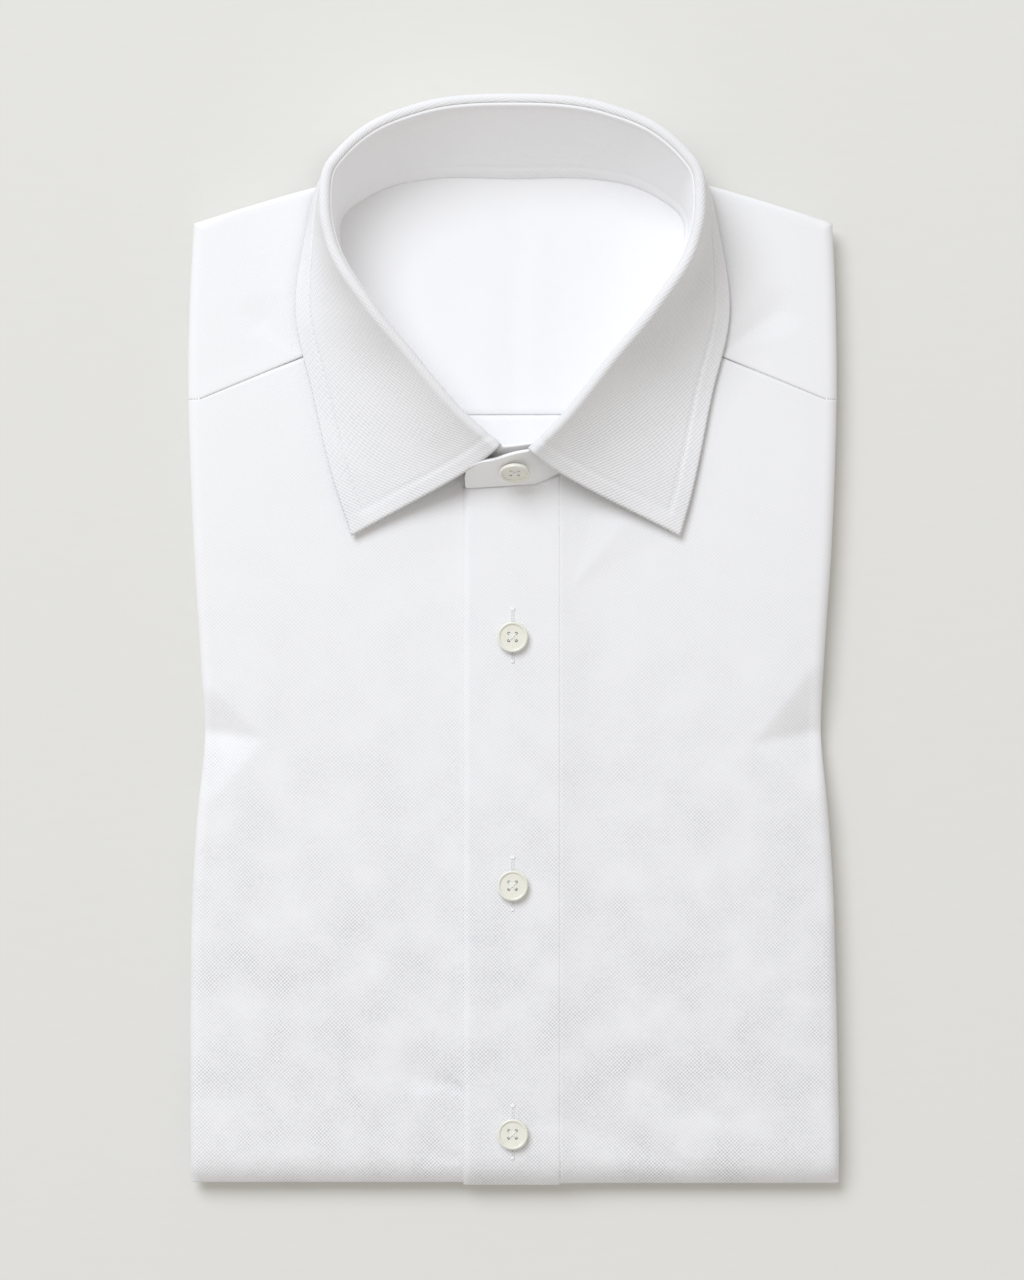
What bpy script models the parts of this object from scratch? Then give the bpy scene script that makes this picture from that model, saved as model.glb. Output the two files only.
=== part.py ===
"""A folded dress shirt lying on a table: collar standing, fronts up, sleeves and tail under.

Metres, +Z up. The origin is under the middle of the shirt, on the table. +Y runs from
the bottom fold to the collar, and +X to the wearer's left front.
"""
import math

import bmesh
import bpy
from mathutils import Vector

# Cloth and seams
WALL = 0.0012
SEAM_GAP = 0.0003
FACET_ROOM = 0.0001
LAYER_GAP = 0.0004
LAYER_STEP = WALL + LAYER_GAP

# Folded body
BODY_TOP = 0.0130
SHOULDER_FALL = 0.0008
SHOULDER_START = 0.1000
SHOULDER_RUN = 0.0700
FOLD_LIP = 0.0043
LIP_TUCK = 0.0040
CORNER_ROUNDING = 0.0010
FOLD_ANGLES = (30, 60, 90, 120, 150, 180)
SIDE_STATIONS = (
    # y, left edge x, right edge x
    (-0.1970, -0.1183, 0.1192),
    (-0.1670, -0.1186, 0.1189),
    (-0.0930, -0.1178, 0.1171),
    (-0.0640, -0.1160, 0.1153),
    (-0.0322, -0.1132, 0.1127),
    (-0.0054, -0.1147, 0.1136),
    (0.0386, -0.1173, 0.1165),
    (0.0900, -0.1191, 0.1182),
    (0.1260, -0.1186, 0.1178),
    (0.1544, -0.1171, 0.1167),
)
TOP_STATIONS = (
    # x, top edge y
    (-0.1171, 0.1544),
    (-0.0720, 0.1676),
    (-0.0350, 0.1755),
    (0.0000, 0.1775),
    (0.0350, 0.1755),
    (0.0706, 0.1683),
    (0.1167, 0.1544),
)
RIGHT_FRONT_BOTTOM = -0.1967
LEFT_FRONT_BOTTOM = -0.1971
PLACKET_BOTTOM = -0.1977
YOKE_FADE_START = 0.0700
YOKE_FADE_RUN = 0.0350
ARMHOLE_Y = 0.0450
SHOULDER_SEAM_Y = 0.0900
NECKLINE_ROWS = 5
NECKLINE_ROOM = 0.0004
NECKLINE_LAP = 0.0010
CREASES = (
    # start x, start y, end x, end y, depth, half width
    (-0.1140, -0.0290, -0.0900, -0.0300, 0.0010, 0.0090),
    (0.1140, -0.0280, 0.0840, -0.0330, 0.0013, 0.0110),
    (0.0250, -0.1760, 0.0650, -0.1910, 0.0006, 0.0100),
    (-0.0330, -0.1570, -0.0210, -0.1620, 0.0006, 0.0090),
)
FRONT_ROWS = (0.0, 0.09, 0.2, 0.32, 0.44, 0.54, 0.6, 0.645, 0.68, 0.72, 0.79, 0.9, 1.0)
FRONT_COLUMNS = (0.0, 0.2, 0.4, 0.58, 0.72, 0.84, 0.93, 1.0)

# Placket and buttons
PLACKET_LEFT = -0.0184
PLACKET_RIGHT = 0.0168
UNDERLAP_COLUMNS = 3
PLACKET_COLUMNS = 4
PLACKET_BLEND = 0.0500
THROAT_Y = 0.0800
PLACKET_TOP = (
    # x, top edge y
    (-0.0184, 0.0578),
    (0.0000, 0.0588),
    (0.0168, 0.0620),
)
BUTTON_X = -0.0004
BUTTON_FIRST_Y = 0.0030
BUTTON_PITCH = 0.0905
BUTTON_RADIUS = 0.0056
BUTTON_THICKNESS = 0.0022
BUTTON_RIM = 0.0011
BUTTON_DISH = 0.0005
BUTTON_DISH_SLOPE = 0.0006
BUTTON_RIM_CROWN = 0.0004
BUTTON_SIDE_TAPER = 0.0007
BUTTON_BACK_TAPER = 0.0016
BUTTON_SIDES = 20
FRONT_BUTTONS = 3
BUTTON_HOLE_SIDES = 8
MERGE_DISTANCE = 0.00001
BUTTON_HOLE_RADIUS = 0.0007
BUTTON_HOLE_PITCH = 0.0027
COLLAR_BUTTON_RISE = 0.60
COLLAR_BUTTON_SHANK = 0.0007

# Yoke
YOKE_SEAM = (
    # distance from the middle, y of the seam to the front
    (0.0560, 0.1130),
    (0.0760, 0.1059),
    (0.0980, 0.0984),
    (0.1136, 0.0918),
    (0.1190, 0.0893),
)
YOKE_START = 0.0560
YOKE_LIMB_SECTIONS = 5
YOKE_NECK_SECTIONS = 14
YOKE_COLUMNS = (0.0, 0.35, 0.7, 1.0)
YOKE_CORNER_PLACE = 0.50
YOKE_BACK_SPREAD = 0.8
YOKE_CORNER_SPREAD = 1.30

# Back and inner yoke
YOKE_BACK_SEAM = 0.0841
YOKE_INNER_TOP = 0.1700
BACK_BOTTOM = -0.1880
HIDDEN_INSET = 0.0075
HIDDEN_COLUMNS = 12
BACK_ROWS = 12
YOKE_INNER_ROWS = 5

# Collar
COLLAR_MIDDLE = -0.0004
COLLAR_WALL = 0.0014
ROLL_RADIUS = 0.00145
LAP_SHIFT = 0.0020
LAP_REACH = 0.20
TIP_SPREAD = 0.0012
COLLAR_SAMPLES = 22
FALL_STEPS = 5
ROLL_STEPS = 5
NECK_ALLOWANCE = 0.0008
NECK_MIDDLE = (0.0, 0.12, 0.0)
SECTION_STEP = 0.004
SHOULDER_PLACE = 0.45
SEARCH_STEPS = 30
LAP_START = 0.04
LAP_SEARCH_STEP = 0.005
LEAF_TURN = 0.15
FRONT_STEEPENING = 0.35
STEEP_REACH = 1.6
ROLL_HANDLE = 0.30
ROLL_HANDLE_DRIFT = 0.10
EDGE_HANDLE = 0.33
EDGE_FLATNESS = 0.25
FLAT_RATE = 1.8
FLAT_DELAY = 0.4
COLLAR_SECTIONS = (
    # base x, base y, fold x, fold y, fold z, edge x, edge y, edge z
    (0.0073, 0.0591, 0.0071, 0.0694, 0.0340, 0.0597, 0.0398, 0.0152),
    (0.0288, 0.0722, 0.0190, 0.0815, 0.0365, 0.0656, 0.0596, 0.0148),
    (0.0477, 0.0934, 0.0359, 0.1026, 0.0410, 0.0726, 0.0915, 0.0146),
    (0.0582, 0.1172, 0.0516, 0.1217, 0.0446, 0.0788, 0.1208, 0.0146),
    (0.0641, 0.1449, 0.0649, 0.1445, 0.0458, 0.0746, 0.1517, 0.0146),
    (0.0642, 0.1545, 0.0670, 0.1560, 0.0457, 0.0718, 0.1641, 0.0146),
    (0.0600, 0.1605, 0.0660, 0.1690, 0.0451, 0.0686, 0.1722, 0.0090),
    (0.0535, 0.1650, 0.0614, 0.1758, 0.0445, 0.0630, 0.1786, 0.0050),
    (0.0450, 0.1690, 0.0520, 0.1841, 0.0437, 0.0532, 0.1862, 0.0030),
    (0.0300, 0.1719, 0.0338, 0.1919, 0.0422, 0.0342, 0.1930, 0.0022),
    (0.0000, 0.1721, 0.0000, 0.1955, 0.0410, 0.0000, 0.1958, 0.0020),
    (-0.0300, 0.1719, -0.0338, 0.1919, 0.0422, -0.0342, 0.1930, 0.0022),
)
COLLAR_SPANS = len(COLLAR_SECTIONS) - 2
OVER_END = (
    # base x, base y, top x, top y, top z
    (0.0005, 0.0587, 0.0003, 0.0692, 0.0326),
    (-0.0074, 0.0582, -0.0076, 0.0664, 0.0300),
    (-0.0128, 0.0579, -0.0130, 0.0640, 0.0272),
    (-0.0162, 0.0577, -0.0165, 0.0620, 0.0235),
    (-0.0174, 0.0577, -0.0175, 0.0597, 0.0190),
)
UNDER_END_SECTIONS = (0.0, 0.05)
UNDER_END_HEIGHTS = (0.95, 0.80)
STAND_STEPS = 3
STAND_TOP_ROOM = 0.0002

# Hidden layers: how far in from the outline, and how high
LAYER_PROFILE = (
    (0.0104, 0.0093),
    (0.0062, 0.0093),
    (0.0036, 0.0089),
    (0.0026, 0.0078),
    (0.0034, 0.0068),
    (0.0060, 0.0062),
    (0.0104, 0.0062),
    (0.0104, 0.0039),
    (0.0036, 0.0039),
    (0.0018, 0.0033),
    (0.0012, 0.0022),
    (0.0017, 0.0010),
    (0.0030, 0.0000),
)
CORNER_RUN = 0.0130
LAYER_SIDE_ROWS = 16
LAYER_TOP_COLUMNS = 11
LAYER_CREASE_START = FOLD_LIP * 2

# Colours
COTTON_COLOUR = (0.90, 0.90, 0.92)
COTTON_ROUGHNESS = 0.85
PEARL_COLOUR = (0.80, 0.80, 0.72)
PEARL_ROUGHNESS = 0.30


# Small mathematics

def smooth(value):
    """Ease from 0 to 1."""
    value = min(1.0, max(0.0, value))
    return value * value * (3.0 - 2.0 * value)


def blend(a, b, share):
    return a + (b - a) * share


def read_table(rows, key, column):
    """Straight-line reading of a table at a value of its first column."""
    rows = sorted(rows)
    if key <= rows[0][0]:
        return rows[0][column]
    for low, high in zip(rows, rows[1:]):
        if key <= high[0]:
            return blend(low[column], high[column], (key - low[0]) / (high[0] - low[0]))
    return rows[-1][column]


def read_curve(rows, place, spans):
    """Smooth reading of every column of a table; place runs from 0 to 1 over its spans."""
    index = min(int(place * spans), spans - 1)
    share = place * spans - index
    p1 = Vector(rows[index])
    p2 = Vector(rows[index + 1])
    p0 = Vector(rows[index - 1]) if index else p1 * 2.0 - p2
    p3 = Vector(rows[index + 2]) if index + 2 < len(rows) else p2 * 2.0 - p1
    before = (p1 - p0).length
    span = (p2 - p1).length
    after = (p3 - p2).length
    slope_1 = ((p1 - p0) / before - (p2 - p0) / (before + span)) * span + p2 - p1
    slope_2 = ((p3 - p2) / after - (p3 - p1) / (span + after)) * span + p2 - p1
    square = share * share
    cube = square * share
    ends = p1 * (2 * cube - 3 * square + 1) + p2 * (3 * square - 2 * cube)
    return ends + slope_1 * (cube - 2 * square + share) + slope_2 * (cube - square)


# Folded body

def side_x(y, side):
    return read_table(SIDE_STATIONS, y, 1 if side < 0 else 2)


def top_y(x):
    return read_table(TOP_STATIONS, x, 1)


def crease_drop(x, y):
    """How far the soft creases lower the cloth."""
    drop = 0.0
    for x0, y0, x1, y1, depth, width in CREASES:
        run = Vector((x1 - x0, y1 - y0))
        share = Vector((x - x0, y - y0)).dot(run) / run.length_squared
        near = Vector((x0, y0)) + run * min(1.0, max(0.0, share))
        drop += depth * math.exp(-((Vector((x, y)) - near).length / width) ** 2)
    return drop


def plain_height(x, y):
    """Top of the outer cloth, with no placket under or over it."""
    fall = SHOULDER_FALL * smooth((y - SHOULDER_START) / SHOULDER_RUN)
    return BODY_TOP - fall - crease_drop(x, y)


def front_height(x, y):
    """Top of the outer cloth; the left front rises to the placket that it is sewn to."""
    if x < PLACKET_RIGHT - SEAM_GAP:
        return plain_height(x, y)
    near_placket = 1.0 - smooth((x - PLACKET_RIGHT) / PLACKET_BLEND)
    below_yoke = 1.0 - smooth((y - YOKE_FADE_START) / YOKE_FADE_RUN)
    return plain_height(x, y) + LAYER_STEP * near_placket * below_yoke


def placket_height(x, y):
    return plain_height(x, y) + LAYER_STEP


def neck_height(x, y):
    """What the right-hand part of the collar stand sits on."""
    if PLACKET_LEFT < x < PLACKET_RIGHT and y < THROAT_Y:
        return placket_height(x, y)
    return front_height(x, y)


def seam_y(x):
    return read_table(YOKE_SEAM, abs(x), 1)


# Cloth walls

def add_faces(bm, verts, rows, columns):
    """Faces over the part of a keyed grid that is there."""
    for i in rows:
        for j in columns:
            corners = [verts.get(key) for key in ((i, j), (i, j + 1), (i + 1, j + 1), (i + 1, j))]
            if all(corners):
                bm.faces.new(corners)


def roll_over(bm, path):
    """Roll the cloth's edge over the fold and tuck its lip under.

    path holds, for each vertex on the edge, the vertex and the outline's point there.
    """
    rings = []
    for vert, outline in path:
        base = Vector(vert.co[:2])
        out = outline - base
        radius = (vert.co.z - FOLD_LIP) / 2.0
        ring = [vert]
        for angle in FOLD_ANGLES:
            turn = math.radians(angle)
            place = base + out * math.sin(turn)
            ring.append(bm.verts.new((*place, vert.co.z - radius * (1.0 - math.cos(turn)))))
        lip = base - out.normalized() * LIP_TUCK
        ring.append(bm.verts.new((*lip, FOLD_LIP)))
        rings.append(ring)
    for left, right in zip(rings, rings[1:]):
        for k in range(len(left) - 1):
            bm.faces.new((left[k], left[k + 1], right[k + 1], right[k]))


def finish_wall(bm, name, thickness, offset, material, up=None):
    """Turn a sheet into a closed wall. Its faces point up, or along the given test."""
    bmesh.ops.recalc_face_normals(bm, faces=bm.faces)
    bm.normal_update()
    facing = sum(f.normal.z * f.calc_area() for f in bm.faces) if up is None else up(bm)
    if facing < 0:
        bmesh.ops.reverse_faces(bm, faces=bm.faces)
    obj = add_object(bm, name, material)
    shell = obj.modifiers.new("cloth thickness", "SOLIDIFY")
    shell.thickness = thickness
    shell.offset = offset
    return obj


def add_object(bm, name, material):
    mesh = bpy.data.meshes.new(name)
    bm.to_mesh(mesh)
    bm.free()
    mesh.shade_smooth()
    mesh.materials.append(material)
    obj = bpy.data.objects.new(name, mesh)
    bpy.context.scene.collection.objects.link(obj)
    return obj


# Materials

def make_material(name, colour, roughness):
    material = bpy.data.materials.new(name)
    material.use_nodes = True
    shader = material.node_tree.nodes["Principled BSDF"]
    shader.inputs["Base Color"].default_value = (*colour, 1.0)
    shader.inputs["Roughness"].default_value = roughness
    shader.inputs["Metallic"].default_value = 0.0
    return material


def cotton():
    return make_material("white cotton", COTTON_COLOUR, COTTON_ROUGHNESS)


def pearl():
    return make_material("pearl button", PEARL_COLOUR, PEARL_ROUGHNESS)


# Collar sections

def seat_stand(foot, head):
    """Lift the foot of a slanting wall until its lower corner clears what it stands on."""
    slant = head - foot
    lean = Vector((slant.x, slant.y)).length / slant.length
    return foot + Vector((0.0, 0.0, SEAM_GAP + FACET_ROOM + lean * COLLAR_WALL / 2.0))


def collar_section(side, place):
    """Base, fold and edge of one collar section; place 0 is the front end, 1 the back."""
    bx, by, fx, fy, fz, ex, ey, ez = read_curve(COLLAR_SECTIONS, place, COLLAR_SPANS)
    low = read_curve(COLLAR_SECTIONS, max(place - SECTION_STEP, 0.0), COLLAR_SPANS)
    high = read_curve(COLLAR_SECTIONS, min(place + SECTION_STEP, 1.0), COLLAR_SPANS)
    along = Vector((high[2] - low[2], high[3] - low[3])).normalized()
    out = Vector((along.y, -along.x))
    if side < 0:
        lap = LAP_SHIFT * (1.0 - smooth(place / LAP_REACH))
        bx, by = bx - out.x * lap, by - out.y * lap
        fx, fy = fx - out.x * lap, fy - out.y * lap
    ex += side * TIP_SPREAD * (1.0 - smooth(place / LAP_REACH))
    mirror = 1.0 if side > 0 else -1.0
    base_x = COLLAR_MIDDLE + mirror * bx
    rest = neck_height(base_x, by) if side > 0 else plain_height(base_x, by)
    radius = ROLL_RADIUS + COLLAR_WALL / 2.0
    centre = Vector((COLLAR_MIDDLE + mirror * fx, fy, fz - radius))
    base = seat_stand(Vector((base_x, by, rest)), centre)
    edge = Vector((COLLAR_MIDDLE + mirror * ex, ey, ez))
    return base, centre, edge, Vector((mirror * out.x, out.y, 0.0))


def roll_point(centre, out, angle):
    """A point on the collar's roll; 0 is its inner side, a half turn its outer side."""
    up = Vector((0.0, 0.0, 1.0))
    return centre + (-out * math.cos(angle) + up * math.sin(angle)) * ROLL_RADIUS


def roll_start(base, centre, out):
    """Where the slanting stand meets the roll."""
    reach = centre - base
    flat = reach.dot(out)
    lean = math.atan2(flat, reach.z)
    return lean - math.asin(ROLL_RADIUS / math.hypot(flat, reach.z))


def leaf_line(base, centre, edge, out, place):
    """Points of one leaf section, from the stand's seam over the roll to the outer edge."""
    start = roll_start(base, centre, out) + LEAF_TURN
    fall = edge - centre
    slope = math.atan2(max(fall.dot(out), 0.0), -fall.z)
    steeper = FRONT_STEEPENING * smooth(1.0 - place * STEEP_REACH)
    end = math.pi - slope + steeper
    points = [
        roll_point(centre, out, blend(start, end, k / ROLL_STEPS)) for k in range(ROLL_STEPS + 1)
    ]
    leave = points[-1]
    chord = edge - leave
    up = Vector((0.0, 0.0, 1.0))
    tangent = out * math.sin(end) + up * math.cos(end)
    drift = (chord - out * chord.dot(out)) * ROLL_HANDLE_DRIFT
    first = leave + tangent * chord.length * ROLL_HANDLE + drift
    flatness = blend(EDGE_FLATNESS, 1.0, smooth(place * FLAT_RATE - FLAT_DELAY))
    second = edge - Vector((chord.x, chord.y, chord.z * flatness)) * EDGE_HANDLE
    for k in range(1, FALL_STEPS + 1):
        t = k / FALL_STEPS
        u = 1.0 - t
        points.append(
            leave * u ** 3 + first * 3 * u * u * t + second * 3 * u * t * t + edge * t ** 3
        )
    return points


def collar_places():
    """Every section round the collar, from the wearer's right end to the left end."""
    half = [(k / COLLAR_SAMPLES) for k in range(COLLAR_SAMPLES + 1)]
    return [(-1, place) for place in half] + [(1, place) for place in reversed(half[:-1])]


def outward(bm):
    """Positive when the faces point away from the middle of the neck."""
    middle = Vector(NECK_MIDDLE)
    total = 0.0
    for face in bm.faces:
        away = face.calc_center_median() - middle
        away.z = 0.0
        total += face.normal.dot(away.normalized()) * face.calc_area()
    return total


def build_leaf(material):
    """The turned-down leaf: over the roll and down to its points."""
    bm = bmesh.new()
    verts = {}
    places = collar_places()
    for i, (side, place) in enumerate(places):
        base, centre, edge, out = collar_section(side, place)
        for j, point in enumerate(leaf_line(base, centre, edge, out, place)):
            verts[i, j] = bm.verts.new(point)
    add_faces(bm, verts, range(len(places)), range(ROLL_STEPS + FALL_STEPS))
    return finish_wall(bm, "collar_leaf", COLLAR_WALL, 0.0, material, outward)


def stand_line(base, top):
    return [base.lerp(top, k / STAND_STEPS) for k in range(STAND_STEPS + 1)]


def stand_top(base, centre, out):
    top = roll_point(centre, out, roll_start(base, centre, out))
    slant = top - base
    return top - slant.normalized() * (SEAM_GAP + STAND_TOP_ROOM)


def under_end():
    """The button end of the stand, which goes on behind the buttonhole end."""
    lines = []
    for place, height in zip(UNDER_END_SECTIONS, UNDER_END_HEIGHTS):
        base, centre, _, out = collar_section(1, place)
        centre = centre - out * LAP_SHIFT
        base = Vector((base.x, base.y, plain_height(base.x, base.y))) - out * LAP_SHIFT
        base = seat_stand(base, centre)
        top = stand_top(base, centre, out)
        lines.insert(0, stand_line(base, base.lerp(top, height)))
    return lines


def over_end():
    """The buttonhole end of the stand, with its rounded tab."""
    lines = []
    for bx, by, tx, ty, tz in OVER_END:
        top = Vector((tx, ty, tz))
        base = seat_stand(Vector((bx, by, placket_height(bx, by))), top)
        lines.append(stand_line(base, top))
    return lines


def build_stand(material):
    """The collar stand: a band round the neck whose ends lap and button."""
    bm = bmesh.new()
    lines = under_end()
    for side, place in collar_places():
        base, centre, _, out = collar_section(side, place)
        lines.append(stand_line(base, stand_top(base, centre, out)))
    lines += over_end()
    verts = {}
    for i, line in enumerate(lines):
        for j, point in enumerate(line):
            verts[i, j] = bm.verts.new(point)
    add_faces(bm, verts, range(len(lines)), range(STAND_STEPS))
    return finish_wall(bm, "collar_stand", COLLAR_WALL, 0.0, material, outward)


# Neckline

def neck_point(side, place):
    """Where a panel ends under the collar stand, a little inside the seam."""
    base, _, _, out = collar_section(side, place)
    return Vector((base.x, base.y)) - Vector((out.x, out.y)) * NECK_ALLOWANCE


def neck_place(side, y):
    """The collar section whose base lies level with y, in front of the shoulders."""
    low, high = 0.0, SHOULDER_PLACE
    for _ in range(SEARCH_STEPS):
        middle = (low + high) / 2.0
        if neck_point(side, middle).y < y:
            low = middle
        else:
            high = middle
    return low


# Panels

def front_rows(side, inner_x, bottom):
    """Ends of each row of a front: up its inner edge and neckline, and up its side."""
    start = 0.0 if side > 0 else LAP_START
    while abs(neck_point(side, start).x) < abs(inner_x) + NECKLINE_ROOM:
        start += LAP_SEARCH_STEP
    first = neck_point(side, start)
    last_place = neck_place(side, seam_y(YOKE_START))
    low_y = bottom + (BODY_TOP - FOLD_LIP) / 2.0
    shoulder_y = seam_y(side_x(SHOULDER_SEAM_Y, side)) - SEAM_GAP
    rows = []
    for share in FRONT_ROWS:
        y_in = blend(low_y, first.y - NECKLINE_LAP, share)
        rows.append((Vector((inner_x, y_in)), blend(low_y, ARMHOLE_Y, share)))
    for k in range(1, NECKLINE_ROWS + 1):
        share = k / NECKLINE_ROWS
        place = blend(start, last_place, share)
        rows.append((neck_point(side, place), blend(ARMHOLE_Y, shoulder_y, share)))
    return rows


def outline_corner(side, bottom):
    """The outline's point at a bottom corner."""
    return Vector((side_x(bottom, side) - side * CORNER_ROUNDING, bottom + CORNER_ROUNDING))


def front_grid(bm, side, inner_x, bottom):
    rows = front_rows(side, inner_x, bottom)
    radius = (BODY_TOP - FOLD_LIP) / 2.0
    verts = {}
    for i, (inner, y_out) in enumerate(rows):
        outer = Vector((side_x(y_out, side) - side * radius, y_out))
        for j, share in enumerate(FRONT_COLUMNS):
            place = inner.lerp(outer, share)
            verts[i, j] = bm.verts.new((*place, front_height(*place)))
    last = len(FRONT_COLUMNS) - 1
    add_faces(bm, verts, range(len(rows)), range(last))
    path = [(verts[0, j], Vector((verts[0, j].co.x, bottom))) for j in range(last)]
    path.append((verts[0, last], outline_corner(side, bottom)))
    for i in range(1, len(rows)):
        vert = verts[i, last]
        path.append((vert, Vector((side_x(vert.co.y, side), vert.co.y))))
    roll_over(bm, path)
    return verts


def build_right_front(material):
    """Image left: a front whose button stand runs on under the placket."""
    bm = bmesh.new()
    inner_x = PLACKET_LEFT - SEAM_GAP
    verts = front_grid(bm, -1, inner_x, RIGHT_FRONT_BOTTOM)
    straight = len(FRONT_ROWS)
    far_x = PLACKET_RIGHT - SEAM_GAP
    for i in range(straight):
        for k in range(1, UNDERLAP_COLUMNS + 1):
            x = blend(inner_x, far_x, k / UNDERLAP_COLUMNS)
            y = verts[i, 0].co.y
            verts[i, -k] = bm.verts.new((x, y, plain_height(x, y)))
    add_faces(bm, verts, range(straight - 1), range(-UNDERLAP_COLUMNS, 0))
    return finish_wall(bm, "front_right", WALL, -1.0, material)


def build_left_front(material):
    """Image right: the front that carries the placket."""
    bm = bmesh.new()
    front_grid(bm, 1, PLACKET_RIGHT + SEAM_GAP, LEFT_FRONT_BOTTOM)
    return finish_wall(bm, "front_left", WALL, -1.0, material)


def build_placket(material):
    """The strip with the buttonholes, made from the front's points, moved out."""
    bm = bmesh.new()
    verts = {}
    top = placket_height(0.0, 0.0)
    low_y = PLACKET_BOTTOM + (top - FOLD_LIP) / 2.0
    for i, share in enumerate(FRONT_ROWS):
        for j in range(PLACKET_COLUMNS + 1):
            x = blend(PLACKET_LEFT, PLACKET_RIGHT, j / PLACKET_COLUMNS)
            y = blend(low_y, read_table(PLACKET_TOP, x, 1), share)
            verts[i, j] = bm.verts.new((x, y, placket_height(x, y)))
    add_faces(bm, verts, range(len(FRONT_ROWS)), range(PLACKET_COLUMNS))
    path = [
        (verts[0, j], Vector((verts[0, j].co.x, PLACKET_BOTTOM))) for j in range(PLACKET_COLUMNS + 1)
    ]
    roll_over(bm, path)
    return finish_wall(bm, "placket", WALL, -1.0, material)


def yoke_sections():
    """Inner and outer ends of each yoke section, from the right front seam to the left."""
    sections = []
    for side in (-1, 1):
        limb = []
        start = neck_place(side, seam_y(YOKE_START) + 2 * SEAM_GAP)
        seam_side = seam_y(side_x(SHOULDER_SEAM_Y, side)) + SEAM_GAP
        corner_y = TOP_STATIONS[0][1]
        for k in range(YOKE_LIMB_SECTIONS + 1):
            share = k / YOKE_LIMB_SECTIONS
            place = blend(start, YOKE_CORNER_PLACE, share)
            y = blend(seam_side, corner_y, share)
            limb.append((side, place, Vector((side_x(y, side), y))))
        for k in range(1, YOKE_NECK_SECTIONS // 2 + 1):
            share = k / (YOKE_NECK_SECTIONS // 2)
            place = blend(YOKE_CORNER_PLACE, 1.0, share)
            x = blend(side_x(corner_y, side), COLLAR_MIDDLE, share ** YOKE_BACK_SPREAD)
            limb.append((side, place, Vector((x, top_y(x)))))
        sections += limb if side < 0 else list(reversed(limb[:-1]))
    return sections


def outline_normal(points, index):
    before = points[max(index - 1, 0)]
    after = points[min(index + 1, len(points) - 1)]
    along = (after - before).normalized()
    return Vector((-along.y, along.x))


def build_yoke_outer(material):
    """One piece over both shoulders and behind the neck, folded over the top edge."""
    bm = bmesh.new()
    sections = yoke_sections()
    outline = [tip for _, _, tip in sections]
    verts = {}
    path = []
    for i, (side, place, tip) in enumerate(sections):
        normal = outline_normal(outline, i)
        radius = (plain_height(*tip) - FOLD_LIP) / 2.0
        corner = i in (YOKE_LIMB_SECTIONS, len(sections) - 1 - YOKE_LIMB_SECTIONS)
        spread = YOKE_CORNER_SPREAD if corner else 1.0
        base = tip - normal * radius * spread
        if i in (0, len(sections) - 1):
            base = Vector((tip.x - side * radius, tip.y))
        inner = neck_point(side, place)
        for j, share in enumerate(YOKE_COLUMNS):
            spot = inner.lerp(base, share)
            verts[i, j] = bm.verts.new((*spot, plain_height(*spot)))
        path.append((verts[i, len(YOKE_COLUMNS) - 1], tip))
    add_faces(bm, verts, range(len(sections)), range(len(YOKE_COLUMNS) - 1))
    roll_over(bm, path)
    return finish_wall(bm, "yoke_outer", WALL, -1.0, material)


def build_flat_panel(name, low_y, high_y, rows, material):
    """A panel that lies under the fronts, kept in from the folds."""
    bm = bmesh.new()
    verts = {}
    for i in range(rows + 1):
        for j in range(HIDDEN_COLUMNS + 1):
            y = blend(low_y, high_y, i / rows)
            left = side_x(y, -1) + HIDDEN_INSET
            right = side_x(y, 1) - HIDDEN_INSET
            x = blend(left, right, j / HIDDEN_COLUMNS)
            if high_y > YOKE_BACK_SEAM:
                y = blend(low_y, top_y(x) - HIDDEN_INSET, i / rows)
            verts[i, j] = bm.verts.new((x, y, plain_height(x, y) - LAYER_STEP))
    add_faces(bm, verts, range(rows), range(HIDDEN_COLUMNS))
    return finish_wall(bm, name, WALL, -1.0, material)


def body_outline():
    """Closed outline of the folded body, anticlockwise, with one point at each corner."""
    shoulder_y = TOP_STATIONS[0][1] - CORNER_ROUNDING
    hem_y = RIGHT_FRONT_BOTTOM + CORNER_ROUNDING
    first, last = hem_y + CORNER_RUN, shoulder_y - CORNER_RUN
    ys = [blend(first, last, k / LAYER_SIDE_ROWS) for k in range(LAYER_SIDE_ROWS + 1)]
    ys = [hem_y] + ys + [shoulder_y]
    right = [Vector((side_x(y, 1) - CORNER_ROUNDING, y)) for y in ys]
    left = [Vector((side_x(y, -1) + CORNER_ROUNDING, y)) for y in ys]
    for point in right[1:-1]:
        point.x += CORNER_ROUNDING
    for point in left[1:-1]:
        point.x -= CORNER_ROUNDING
    far = side_x(hem_y, 1) - CORNER_RUN
    xs = [blend(-far, far, k / LAYER_TOP_COLUMNS) for k in range(LAYER_TOP_COLUMNS + 1)]
    top = [Vector((x, top_y(x))) for x in reversed(xs)]
    bottom = [Vector((x, RIGHT_FRONT_BOTTOM)) for x in xs]
    return bottom + right + top + list(reversed(left))


def mitre_normals(outline):
    """Outward vectors that move a closed outline's edges by an equal distance."""
    normals = []
    for k, point in enumerate(outline):
        before = (point - outline[k - 1]).normalized()
        after = (outline[(k + 1) % len(outline)] - point).normalized()
        both = Vector((before.y + after.y, -before.x - after.x))
        normals.append(both / (1.0 + before.dot(after)))
    return normals


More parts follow.
